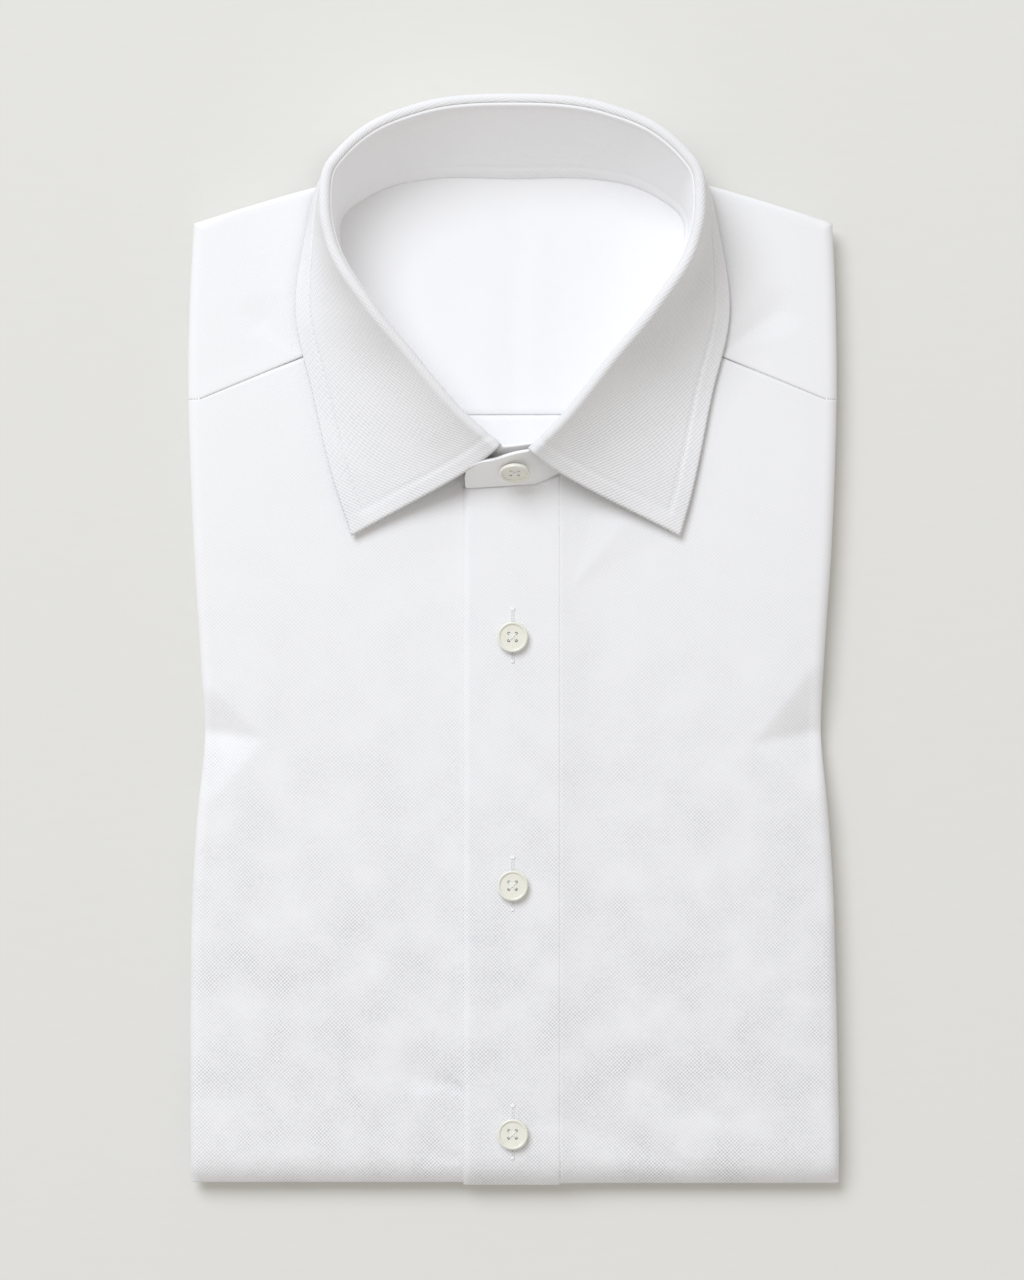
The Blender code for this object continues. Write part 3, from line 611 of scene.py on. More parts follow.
# The collar's sections
# Stand and leaf follow one set of sections round the neck: where the stand is sewn on,
# where the collar folds, and where the leaf's outer edge lies.
COLLAR_MIDDLE = -0.0004
COLLAR_WALL = 0.0014
ROLL_RADIUS = 0.00145
LAP_SHIFT = 0.0020
LAP_REACH = 0.20
TIP_SPREAD = 0.0012
SEAM_GAP = 0.0003
NECK_ALLOWANCE = 0.0008
NECK_SAG = 0.115
NECK_SAG_RUN = 0.045
NECK_MIDDLE = Vector((0.0, 0.12, 0.0))
PLACKET_TOP = 0.08
TANGENT_STEP = 0.004
COLLAR_SECTIONS = (
    # base x, base y, fold x, fold y, fold z, edge x, edge y, edge z
    (0.0073, 0.0591, 0.0071, 0.0694, 0.0340, 0.0597, 0.0398, 0.0152),
    (0.0288, 0.0722, 0.0190, 0.0815, 0.0365, 0.0656, 0.0596, 0.0148),
    (0.0477, 0.0934, 0.0359, 0.1026, 0.0410, 0.0726, 0.0915, 0.0146),
    (0.0582, 0.1172, 0.0516, 0.1217, 0.0446, 0.0788, 0.1208, 0.0146),
    (0.0641, 0.1449, 0.0649, 0.1445, 0.0458, 0.0746, 0.1517, 0.0146),
    (0.0642, 0.1545, 0.0670, 0.1560, 0.0457, 0.0718, 0.1641, 0.0146),
    (0.0600, 0.1605, 0.0660, 0.1690, 0.0451, 0.0686, 0.1722, 0.0090),
    (0.0535, 0.1650, 0.0614, 0.1758, 0.0445, 0.0630, 0.1786, 0.0050),
    (0.0450, 0.1690, 0.0520, 0.1841, 0.0437, 0.0532, 0.1862, 0.0030),
    (0.0300, 0.1719, 0.0338, 0.1919, 0.0422, 0.0342, 0.1930, 0.0022),
    (0.0000, 0.1721, 0.0000, 0.1955, 0.0410, 0.0000, 0.1958, 0.0020),
    (-0.0300, 0.1719, -0.0338, 0.1919, 0.0422, -0.0342, 0.1930, 0.0022),
)
COLLAR_SPANS = len(COLLAR_SECTIONS) - 2
PLACKET_LEFT = -0.0184
PLACKET_RIGHT = 0.0168
PLACKET_BLEND = 0.0200
BLEND_END = 0.07
BLEND_FADE = 0.035
SEARCH_LIMIT = 0.45
SEARCH_STEPS = 24
UP = Vector((0.0, 0.0, 1.0))


def front_height(x, y):
    """Top of the outer cloth; the left front rises to the placket."""
    if x < PLACKET_RIGHT - 2.0 * SEAM_GAP:
        return plain_height(x, y)
    near_placket = max(0.0, 1.0 - max(0.0, x - PLACKET_RIGHT) / PLACKET_BLEND) ** 2
    below_yoke = 1.0 - smooth((y - BLEND_END) / BLEND_FADE)
    return plain_height(x, y) + LAYER_STEP * near_placket * below_yoke


def placket_height(x, y):
    return plain_height(x, y) + LAYER_STEP


def read_curve(rows, place, spans):
    """Smooth reading of every column of a table; place runs from 0 to 1 over its spans."""
    index = min(int(place * spans), spans - 1)
    share = place * spans - index
    p1, p2 = Vector(rows[index]), Vector(rows[index + 1])
    p0 = Vector(rows[index - 1]) if index else p1 * 2.0 - p2
    p3 = Vector(rows[index + 2]) if index + 2 < len(rows) else p2 * 2.0 - p1
    before, span, after = (p1 - p0).length, (p2 - p1).length, (p3 - p2).length
    slope_1 = ((p1 - p0) / before - (p2 - p0) / (before + span)) * span + p2 - p1
    slope_2 = ((p3 - p2) / after - (p3 - p1) / (span + after)) * span + p2 - p1
    square, cube = share ** 2, share ** 3
    ends = p1 * (2 * cube - 3 * square + 1) + p2 * (3 * square - 2 * cube)
    return ends + slope_1 * (cube - 2 * square + share) + slope_2 * (cube - square)


def seat_stand(foot, head):
    slant = head - foot
    lean = Vector((slant.x, slant.y)).length / slant.length
    return foot + UP * (SEAM_GAP + lean * COLLAR_WALL / 2.0)


def collar_section(side, place):
    """Base, roll centre, edge and outward direction; place 0 is the front end."""
    bx, by, fx, fy, fz, ex, ey, ez = read_curve(COLLAR_SECTIONS, place, COLLAR_SPANS)
    low = read_curve(COLLAR_SECTIONS, max(place - TANGENT_STEP, 0.0), COLLAR_SPANS)
    high = read_curve(COLLAR_SECTIONS, min(place + TANGENT_STEP, 1.0), COLLAR_SPANS)
    along = Vector((high[2] - low[2], high[3] - low[3])).normalized()
    out = Vector((along.y, -along.x))
    near_front = 1.0 - smooth(place / LAP_REACH)
    by -= NECK_SAG * place * math.exp(-place / NECK_SAG_RUN)
    if side < 0:
        shift = out * LAP_SHIFT * near_front
        bx, by, fx, fy = bx - shift.x, by - shift.y, fx - shift.x, fy - shift.y
    ex += side * TIP_SPREAD * near_front
    base_x = COLLAR_MIDDLE + side * bx
    if side < 0:
        rest = plain_height(base_x, by)
    elif PLACKET_LEFT < base_x < PLACKET_RIGHT and by < PLACKET_TOP:
        rest = placket_height(base_x, by)
    else:
        rest = front_height(base_x, by)
    centre = Vector((COLLAR_MIDDLE + side * fx, fy, fz - ROLL_RADIUS - COLLAR_WALL / 2.0))
    base = seat_stand(Vector((base_x, by, rest)), centre)
    edge = Vector((COLLAR_MIDDLE + side * ex, ey, ez))
    return base, centre, edge, Vector((side * out.x, out.y, 0.0))


def roll_point(centre, out, angle, radius=ROLL_RADIUS):
    return centre + (-out * math.cos(angle) + UP * math.sin(angle)) * radius


def roll_start(base, centre, out):
    reach = centre - base
    flat = reach.dot(out)
    return math.atan2(flat, reach.z) - math.asin(ROLL_RADIUS / math.hypot(flat, reach.z))


def neck_point(side, place):
    base, _, _, out = collar_section(side, place)
    return Vector((base.x, base.y)) - Vector((out.x, out.y)) * NECK_ALLOWANCE


def neck_place(side, y):
    """Place on one side of the neck seam that lies at this y, by halving."""
    low, high = 0.0, SEARCH_LIMIT
    for _ in range(SEARCH_STEPS):
        middle = (low + high) / 2.0
        if neck_point(side, middle).y < y:
            low = middle
        else:
            high = middle
    return low


def round_neck(share):
    """Side and place for a share of the way from one front end to the other."""
    return -1 if share < 0.5 else 1, 1.0 - abs(2.0 * share - 1.0)


def outward(bm):
    """Positive when faces point away from the middle of the neck."""
    total = 0.0
    for face in bm.faces:
        away = face.calc_center_median() - NECK_MIDDLE
        away.z = 0.0
        total += face.normal.dot(away.normalized()) * face.calc_area()
    return total


# The outer yoke
# One piece over both shoulders and behind the neck. It folds over the shirt's top
# edge, and its front seams show as fine lines across the shoulders.
YOKE_SEAM = (
    # distance from the middle, y of the seam
    (0.0560, 0.1130),
    (0.0760, 0.1059),
    (0.0980, 0.0984),
    (0.1136, 0.0918),
    (0.1190, 0.0893),
)
YOKE_LAP = 0.0002
SEAM_RISE = 0.00019
YOKE_LIMB = 0.46
YOKE_ROLL = 0.30
ROLL_TURN = 0.86
YOKE_CORNER = 0.04
TOP_FOLD_POWER = 0.45
YOKE_NECK_Y = 0.1136
ARMHOLE_X = 0.118
TOP_FOLD_SPREAD = 0.85
TOP_FOLD_REACH = 1.03
BEAD_RUN = 0.009
BEAD_EDGE = 0.0006
BEAD_START = 0.02
YOKE_START = {side: neck_place(side, YOKE_NECK_Y) for side in (-1, 1)}


def seam_y(x):
    return read_table(YOKE_SEAM, abs(x), 1)


def edge_roll(level, radius, start=0.0, power=1.0):
    """How far out and how far down the cloth is, part way over its fold."""
    if level > ROLL_TURN:
        return -LIP_TUCK * (level - ROLL_TURN) / (1.0 - ROLL_TURN), 2.0 * radius
    turn = blend(start, math.pi, level / ROLL_TURN)
    out = max(0.0, math.sin(turn) - math.sin(start)) / (1.0 - math.sin(start))
    lift = math.copysign(abs(math.cos(turn)) ** power, math.cos(turn))
    down = (math.cos(start) - lift) / (math.cos(start) + 1.0)
    return radius * out ** power, 2.0 * radius * down


def seam_bead(distance):
    """A seamed edge: a thin roll at the edge, then the dip of the seam's stitching."""
    edge = math.sqrt(min(1.0, distance / BEAD_EDGE + BEAD_START))
    return SEAM_RISE * (1.0 - smooth(distance / BEAD_RUN)) * edge


def yoke_place(u, v):
    side, reach = round_neck(u)
    corner_y = TOP_EDGE[0][1]
    if reach < YOKE_LIMB:
        share = reach / YOKE_LIMB
        place = blend(YOKE_START[side], 0.50, share)
        y = blend(seam_y(ARMHOLE_X) - YOKE_LAP, corner_y, share)
        tip = Vector((side_x(y, side), y))
    else:
        share = (reach - YOKE_LIMB) / (1.0 - YOKE_LIMB)
        place = blend(0.50, 1.0, share)
        x = blend(side_x(corner_y, side), COLLAR_MIDDLE, share ** TOP_FOLD_SPREAD)
        tip = Vector((x, top_y(x)))
    radius = (BODY_TOP - FOLD_LIP) / 2.0
    limit = abs(side_x(tip.y, side)) - radius
    base_x = max(-limit, min(limit, tip.x))
    base = Vector((base_x, min(tip.y, top_y(base_x) - radius * TOP_FOLD_REACH)))
    inner = neck_point(side, place)
    if v <= 1.0 - YOKE_ROLL:
        spot = inner.lerp(base, v / (1.0 - YOKE_ROLL))
        z = plain_height(*spot)
        if reach < YOKE_LIMB:
            z += seam_bead(reach / YOKE_LIMB * (corner_y - seam_y(ARMHOLE_X)))
        return (spot.x, spot.y, z), (spot.x, spot.y)
    level = (v - 1.0 + YOKE_ROLL) / YOKE_ROLL
    at_top = smooth((reach - YOKE_LIMB) / YOKE_CORNER)
    out, down = edge_roll(level, radius, 0.0, blend(1.0, TOP_FOLD_POWER, at_top))
    away = tip - base
    spot = base + away * (out / radius)
    flat = base + away.normalized() * (radius * math.pi * level)
    top = plain_height(*base)
    down *= (top - FOLD_LIP) / (2.0 * radius)
    return (spot.x, spot.y, top - down), (flat.x, flat.y)


YOKE = cloth_grid("yoke_cloth", 300, 60, yoke_place, BODY_COTTON)
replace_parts(YOKE, "yoke_outer")

# The two fronts
# Each front runs from the neckline and yoke seam to the bottom fold, and rolls over the
# side and bottom of the pack. The right front goes on under the placket.
RIGHT_FRONT_BOTTOM = -0.1967
LEFT_FRONT_BOTTOM = -0.1971
FRONT_SIDE_ROLL = 0.14
FRONT_BOTTOM_ROLL = 0.07
NECKLINE_SHARE = 0.20
ARMHOLE_ROW_Y = 0.0450
CORNER_POWER = 7.0
HEM_TURN = 0.80
HEM_REACH = 0.0009
PLACKET_LAP = 0.0012
NECK_END_Y = 0.1130
NECK_START = 0.04
NECK_MARGIN = 0.0004
NECK_STEP = 0.005
NECK_DROP = 0.001
STAND_TOP_Y = 0.0575
STAND_BOTTOM_INSET = 0.0044
STAND_SINK = 0.0001


def front_start(side, inner_x):
    """Place on the neck seam where the front's inner edge meets it."""
    start = 0.0 if side > 0 else NECK_START
    while abs(neck_point(side, start).x) < abs(inner_x) + NECK_MARGIN:
        start += NECK_STEP
    return start


def front_placer(side, inner_x, bottom):
    """The place function of one front."""
    start = front_start(side, inner_x)
    neck_y = neck_point(side, start).y - NECK_DROP
    last = neck_place(side, NECK_END_Y)
    low_y = bottom + HEM_REACH
    shoulder_y = seam_y(ARMHOLE_X) + SEAM_GAP

    def place(u, v):
        across = min(u / (1.0 - FRONT_SIDE_ROLL), 1.0)
        over_side = max(0.0, (u - 1.0 + FRONT_SIDE_ROLL) / FRONT_SIDE_ROLL)
        over_bottom = max(0.0, 1.0 - v / FRONT_BOTTOM_ROLL)
        rise = max(0.0, (v - FRONT_BOTTOM_ROLL) / (1.0 - FRONT_BOTTOM_ROLL))
        straight = 1.0 - NECKLINE_SHARE
        if rise <= straight:
            share = rise / straight
            inner = Vector((inner_x, blend(low_y, neck_y, share)))
            y_out = blend(low_y, ARMHOLE_ROW_Y, share)
        else:
            share = (rise - straight) / NECKLINE_SHARE
            inner = neck_point(side, blend(start, last, share))
            y_out = blend(ARMHOLE_ROW_Y, shoulder_y, share)
        radius = (BODY_TOP - FOLD_LIP) / 2.0
        outer = Vector((side_x(y_out, side) - side * radius, y_out))
        spot = inner.lerp(outer, across)
        top = front_height(*spot)
        level = max(over_side, over_bottom)
        if level <= 0.0:
            return (spot.x, spot.y, top), (spot.x, spot.y)
        half = (top - FOLD_LIP) / 2.0
        a, b = over_side / level, over_bottom / level
        out, down = edge_roll(level, 1.0, HEM_TURN * b)
        rounding = (a ** CORNER_POWER + b ** CORNER_POWER) ** (-1.0 / CORNER_POWER)
        x = spot.x + side * a * (out * radius * rounding if out > 0 else out)
        y = spot.y - b * (out * HEM_REACH * rounding if out > 0 else out)
        run = radius * math.pi
        return (x, y, top - down * half), (spot.x + side * over_side * run, spot.y - over_bottom * run)

    return place


RIGHT_FRONT = cloth_grid(
    "right_front_cloth", 110, 190,
    front_placer(-1, PLACKET_LEFT + PLACKET_LAP, RIGHT_FRONT_BOTTOM), BODY_COTTON,
)
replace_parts(RIGHT_FRONT, "front_right")
LEFT_FRONT = cloth_grid(
    "left_front_cloth", 110, 190,
    front_placer(1, PLACKET_RIGHT, LEFT_FRONT_BOTTOM), BODY_COTTON,
)
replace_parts(LEFT_FRONT, "front_left")


def underlap_place(u, v):
    x = blend(PLACKET_LEFT - PLACKET_LAP, PLACKET_RIGHT - SEAM_GAP, u)
    y = blend(RIGHT_FRONT_BOTTOM + STAND_BOTTOM_INSET, STAND_TOP_Y, v)
    return (x, y, plain_height(x, y) - STAND_SINK), (x, y)


UNDERLAP = cloth_grid("button_stand_cloth", 12, 60, underlap_place, BODY_COTTON)

# The placket
# The buttonhole edge is folded back on itself with no stitching on show, so it lies
# like a smooth 35 mm band with a soft fold on the image's left.
PLACKET_BOTTOM = -0.1977
PLACKET_FOLD = 0.00145
PLACKET_FOLD_RUN = 0.0026
PLACKET_ROLL = 0.08
PLACKET_CROWDING = 1.5
PLACKET_DIP = 0.00005
PLACKET_DIP_RUN = 0.0012
PLACKET_HEAD = (
    # x, y of the top edge
    (-0.0184, 0.0578),
    (0.0000, 0.0588),
    (0.0168, 0.0620),
)


def placket_place(u, v):
    x = blend(PLACKET_LEFT, PLACKET_RIGHT + SEAM_GAP, u ** PLACKET_CROWDING)
    rise = read_table(PLACKET_HEAD, x, 1)
    near_fold = max(0.0, 1.0 - (x - PLACKET_LEFT) / PLACKET_FOLD_RUN)
    fold = PLACKET_FOLD * near_fold ** 2
    dip = PLACKET_DIP * smooth((x - PLACKET_RIGHT + PLACKET_DIP_RUN) / PLACKET_DIP_RUN)
    low_y = PLACKET_BOTTOM + HEM_REACH
    radius = (placket_height(x, low_y) - FOLD_LIP) / 2.0
    if v >= PLACKET_ROLL:
        y = blend(low_y, rise, (v - PLACKET_ROLL) / (1.0 - PLACKET_ROLL))
        return (x, y, placket_height(x, y) - fold - dip), (x, y)
    level = 1.0 - v / PLACKET_ROLL
    out, down = edge_roll(level, 1.0, HEM_TURN)
    y = low_y - (out * HEM_REACH if out > 0 else out)
    z = placket_height(x, low_y) - down * radius - (fold + dip) * (1.0 - level)
    return (x, y, z), (x, low_y - level * radius * math.pi)


PLACKET = cloth_grid("placket_cloth", 60, 230, placket_place, BODY_COTTON)
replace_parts(PLACKET, "placket")

# The collar stand
# A stiffened band whose ends lap at the throat. The buttonhole end lies outside and has
# a rounded tab; the button end goes on behind it.
OVER_END = (
    # base x, base y, top x, top y, top z
    (0.0005, 0.0587, 0.0003, 0.0692, 0.0326),
    (-0.0074, 0.0582, -0.0076, 0.0670, 0.0305),
    (-0.0128, 0.0579, -0.0130, 0.0661, 0.0285),
    (-0.0164, 0.0577, -0.0167, 0.0642, 0.0258),
    (-0.0176, 0.0577, -0.0178, 0.0606, 0.0200),
)
STAND_CLOTH = 0.0012
UNDER_END_REACH = 0.05
STAND_HEIGHT = 0.034
NECK_LENGTH = 0.40
END_SHARE = 0.05
TAB_CORNER = 0.12
TAB_CORNER_RISE = 0.26
TAB_CROWDING = 0.9
UNDER_HEIGHT = 0.97
UNDER_END_HEIGHT = 0.80
JOIN_START = 0.35
BEAD_RISE = 0.00055
BEAD_INSET = 0.0010
BEAD_WIDTH = 0.0007
BEAD_FADE = 0.01
RIDGE_RISE = 0.00040
RIDGE_TOP = 0.0016
RIDGE_FADE = 0.0012
GROOVE_SHARE = 0.4
GROOVE_PLACE = 0.0034
GROOVE_WIDTH = 0.0005
SKIRT = 0.075
SKIRT_REACH = 0.0009
SKIRT_SINK = 0.0004
SKIRT_FADE = 0.12


def stand_top(base, centre, out):
    return roll_point(centre, out, roll_start(base, centre, out))


def stand_ends(u):
    """Bottom and top of the stand, from the button end round the back to the tab."""
    if u < END_SHARE:
        place = UNDER_END_REACH * (1.0 - u / END_SHARE)
        base, centre, _, out = collar_section(1, place)
        centre = centre - out * LAP_SHIFT
        base = Vector((base.x, base.y, plain_height(base.x, base.y))) - out * LAP_SHIFT
        base = seat_stand(base, centre)
        height = blend(UNDER_HEIGHT, UNDER_END_HEIGHT, smooth(place / UNDER_END_REACH))
        top = base.lerp(stand_top(base, centre, out), height)
        join_base, join_centre, _, join_out = collar_section(-1, 0.0)
        join_top = stand_top(join_base, join_centre, join_out)
        near = smooth((u / END_SHARE - JOIN_START) / (1.0 - JOIN_START))
        return base.lerp(join_base, near), top.lerp(join_top, near)
    if u > 1.0 - END_SHARE:
        step = (u - 1.0 + END_SHARE) / END_SHARE
        base, centre, _, out = collar_section(1, 0.0)
        rows = [(base.x, base.y, *stand_top(base, centre, out)), *OVER_END]
        bx, by, tx, ty, tz = read_curve(rows, step ** TAB_CROWDING, len(rows) - 1)
        top = Vector((tx, ty, tz))
        base = seat_stand(Vector((bx, by, placket_height(bx, by))), top)
        corner = max(0.0, 1.0 - (1.0 - step) / TAB_CORNER)
        return base.lerp(top, TAB_CORNER_RISE * (1.0 - math.sqrt(1.0 - corner ** 2))), top
    around = (u - END_SHARE) / (1.0 - 2.0 * END_SHARE)
    base, centre, _, out = collar_section(*round_neck(around))
    return base, stand_top(base, centre, out)


def stand_place(u, v):
    """The stand's wall; its foot turns in under the neck seam, away from the ends."""
    base, top = stand_ends(u)
    spot = base.lerp(top, v)
    around = (u - END_SHARE) / (1.0 - 2.0 * END_SHARE)
    if v < SKIRT and 0.0 < around < 1.0:
        foot = base - collar_section(*round_neck(around))[3] * SKIRT_REACH
        foot.z = neck_floor(foot.x, foot.y) - SKIRT_SINK
        tucked = foot.lerp(base.lerp(top, SKIRT), v / SKIRT)
        spot = spot.lerp(tucked, smooth(around / SKIRT_FADE) * smooth((1.0 - around) / SKIRT_FADE))
    return tuple(spot), (u * NECK_LENGTH, v * STAND_HEIGHT)


# Painted light: the stand gets a lighter copy of the cotton, brightening its shaded walls.
STAND_COTTON = cotton_material("collar stand oxford", 0.34, 0.16, COLLAR_PITCH, 0.6, 1.09)
STAND_COLUMNS = 420
STAND_ROWS = 40
STAND = cloth_grid(
    "stand_cloth", STAND_COLUMNS, STAND_ROWS, stand_place, STAND_COTTON, STAND_CLOTH, outward, 0.0
)


def raise_beads(stand):
    """A cord-like bead under the collar's roll and a ridge along the neck seam."""
    mesh = stand.data
    normals = [vert.normal.copy() for vert in mesh.vertices]
    for index, (vert, normal) in enumerate(zip(mesh.vertices, normals)):
        v = (index // (STAND_COLUMNS + 1)) / STAND_ROWS * STAND_HEIGHT
        u = (index % (STAND_COLUMNS + 1)) / STAND_COLUMNS
        inside = smooth((u - END_SHARE) / BEAD_FADE) * smooth((1.0 - END_SHARE - u) / BEAD_FADE)
        bead = BEAD_RISE * math.exp(-((STAND_HEIGHT - v - BEAD_INSET) / BEAD_WIDTH) ** 2)
        ridge = RIDGE_RISE * (1.0 - smooth((v - RIDGE_TOP) / RIDGE_FADE))
        groove = RIDGE_RISE * GROOVE_SHARE * math.exp(-((v - GROOVE_PLACE) / GROOVE_WIDTH) ** 2)
        vert.co -= normal * (bead + ridge - groove) * inside


raise_beads(STAND)
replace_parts(STAND, "collar_stand")

# The collar leaf
# Two layers and a lining, sewn to the stand's top, folded over it and pressed down to
# two points. The edge is topstitched 6 mm in, so it stands up as a padded rim.
LEAF_CLOTH = 0.0012
ROLL_SHARE = 0.14
TOPSTITCH = 0.0062
RIM_PAD = 0.00022
STITCH_DIP = 0.00028
STITCH_DIP_WIDTH = 0.00075
PAD_FADE = 0.0012
PAD_EDGE = 0.0008
LEAF_COLUMNS = 340
LEAF_ROWS = 84
LEAF_LENGTH = 0.195
GRAIN_LEAN = math.radians(22.0)
ROLL_OVERLAP = 0.15
FRONT_TUCK = 0.35
FRONT_TUCK_FADE = 1.6
LEAVE_PULL = 0.30
LEAVE_DROP = 0.10
EDGE_PULL = 0.33
FLAT_SHARE = 0.25
FLAT_FADE = 1.8
FLAT_START = 0.4


def leaf_point(side, place, v):
    """The roll over the stand, then a smooth curve down to the leaf's outer edge."""
    base, centre, edge, out = collar_section(side, place)
    start = roll_start(base, centre, out) + ROLL_OVERLAP
    fall = edge - centre
    slope = math.atan2(max(fall.dot(out), 0.0), -fall.z)
    end = math.pi - slope + FRONT_TUCK * smooth(1.0 - place * FRONT_TUCK_FADE)
    if v < ROLL_SHARE:
        return roll_point(centre, out, blend(start, end, v / ROLL_SHARE))
    leave = roll_point(centre, out, end)
    chord = edge - leave
    tangent = out * math.sin(end) + UP * math.cos(end)
    down = chord - out * chord.dot(out)
    first = leave + tangent * chord.length * LEAVE_PULL + down * LEAVE_DROP
    steep = blend(FLAT_SHARE, 1.0, smooth(place * FLAT_FADE - FLAT_START))
    second = edge - Vector((chord.x, chord.y, chord.z * steep)) * EDGE_PULL
    t = (v - ROLL_SHARE) / (1.0 - ROLL_SHARE)
    w = 1.0 - t
    return leave * w ** 3 + first * 3 * w * w * t + second * 3 * w * t * t + edge * t ** 3


def leaf_place(u, v):
    side, place = round_neck(u)
    point = leaf_point(side, place, v)
    _, centre, edge, _ = collar_section(side, place)
    depth = (edge - centre).length * v
    along = (1.0 - place) * LEAF_LENGTH
    ribs = math.sin(GRAIN_LEAN) * along + math.cos(GRAIN_LEAN) * depth
    cross = math.cos(GRAIN_LEAN) * along - math.sin(GRAIN_LEAN) * depth
    return tuple(point), ((ribs + cross) * BIAS, (ribs - cross) * BIAS)


def edge_distances(mesh, columns, rows):
    """Distance of each grid point from the leaf's outer edge and its front ends."""
    points = [vert.co.copy() for vert in mesh.vertices]
    width = columns + 1
    rim = [points[rows * width + i] for i in range(width)]
    ends = [
        [points[j * width + i] for j in range(rows // 6, rows + 1)] for i in (0, columns)
    ]
    dense = []
    for line in (rim, *ends):
        for a, b in zip(line, line[1:]):
            dense += [a.lerp(b, k / 4) for k in range(4)]
        dense.append(line[-1])
    tree = KDTree(len(dense))
    for index, point in enumerate(dense):
        tree.insert(point, index)
    tree.balance()
    return [tree.find(point)[2] for point in points]


LEAF = cloth_grid(
    "leaf_cloth", LEAF_COLUMNS, LEAF_ROWS, leaf_place, COLLAR_COTTON, LEAF_CLOTH, outward, 0.0
)


def press_rim(leaf):
    """Raise the padded rim and sink the topstitching, along the cloth's own normal."""
    mesh = leaf.data
    distances = edge_distances(mesh, LEAF_COLUMNS, LEAF_ROWS)
    normals = [vert.normal.copy() for vert in mesh.vertices]
    for vert, normal, away in zip(mesh.vertices, normals, distances):
        pad = RIM_PAD * smooth((TOPSTITCH - away) / PAD_FADE) * smooth(away / PAD_EDGE)
        dip = STITCH_DIP * math.exp(-((away - TOPSTITCH) / STITCH_DIP_WIDTH) ** 2)
        vert.co += normal * (pad - dip)


press_rim(LEAF)
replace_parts(LEAF, "collar_leaf")

# The buttons
# Turned pearl shell, 11.2 mm across, with a raised rim, a dished middle and four
# holes. White thread crosses the holes and wraps the shank below.
BUTTON_X = -0.0004
BUTTON_FIRST_Y = 0.0030
BUTTON_PITCH = 0.0905
BUTTON_RADIUS = 0.0056
BUTTON_THICKNESS = 0.0022
BUTTON_HOLE_RADIUS = 0.00055
BUTTON_HOLE_PITCH = 0.0027
COLLAR_BUTTON_RISE = 0.60
COLLAR_BUTTON_SHANK = 0.0007
LAYER_GAP = 0.0004
PEARL = (0.760, 0.755, 0.655, 1.0)
PEARL_LIGHT = (0.870, 0.865, 0.785, 1.0)
THREAD = (0.90, 0.90, 0.90, 1.0)
THREAD_RADIUS = 0.00022
THREAD_ARCH = 0.00075
THREAD_HALF_GAP = 0.00016
THREAD_SINK = 0.0006
SHANK_SHARE = 0.6
SHANK_FOOT = 0.0004
SHANK_THICKNESS = 1.5
THREAD_STEPS = 6
THREAD_SIDES = 8
DISH_DEPTH = 0.00062
DISH_RISE = 0.0001
DISH_STEPS = 8
RIM_WIDTH = 0.0011
RIM_HEIGHT = 0.0005
RIM_STEPS = 10
BUTTON_UNDERSIDE = (
    # in from the outer edge, down from the top of the rim
    (0.0, 0.0007),
    (0.0002, 0.0013),
    (0.0010, 0.0020),
    (0.0016, 0.0022),
)
BUTTON_STEPS = 64
DRILL_STEPS = 20


def pearl_material():
    material, tree, shader = new_material("pearl shell")
    place = add_node(tree, "ShaderNodeTexCoord")
    swirl = add_noise(tree, place.outputs["Object"], 260.0, 3.0)
    swirl.inputs["Distortion"].default_value = 1.6
    colour = add_tint(tree, swirl.outputs["Fac"], PEARL, PEARL_LIGHT)
    tree.links.new(colour, shader.inputs["Base Color"])
    add_bump(tree, shader, swirl.outputs["Fac"], 0.08, 0.0002)
    shader.inputs["Roughness"].default_value = 0.26
    shader.inputs["Coat Weight"].default_value = 0.35
    shader.inputs["Coat Roughness"].default_value = 0.15
    return material


def thread_material():
    material, tree, shader = new_material("white sewing thread")
    place = add_node(tree, "ShaderNodeTexCoord")
    ply = add_noise(tree, place.outputs["Object"], 4000.0)
    add_bump(tree, shader, ply.outputs["Fac"], 0.4, 0.0001)
    shader.inputs["Base Color"].default_value = THREAD
    shader.inputs["Roughness"].default_value = 0.7
    return material


PEARL_SHELL = pearl_material()
SEWING_THREAD = thread_material()


def button_profile():
    """Half of the button's outline, from the middle of its face to that of its back."""
    half = BUTTON_THICKNESS / 2.0
    rim = BUTTON_RADIUS - RIM_WIDTH
    profile = []
    for k in range(DISH_STEPS + 1):
        share = k / DISH_STEPS
        profile.append((rim * share, half - DISH_DEPTH + DISH_RISE * share ** 3))
    for k in range(1, RIM_STEPS):
        angle = math.pi * k / RIM_STEPS
        radius = rim + RIM_WIDTH * (1.0 - math.cos(angle)) / 2.0
        profile.append((radius, half - RIM_HEIGHT + RIM_HEIGHT * math.sin(angle)))
    profile += [(BUTTON_RADIUS - inward, half - down) for inward, down in BUTTON_UNDERSIDE]
    return profile + [(0.0, -half)]


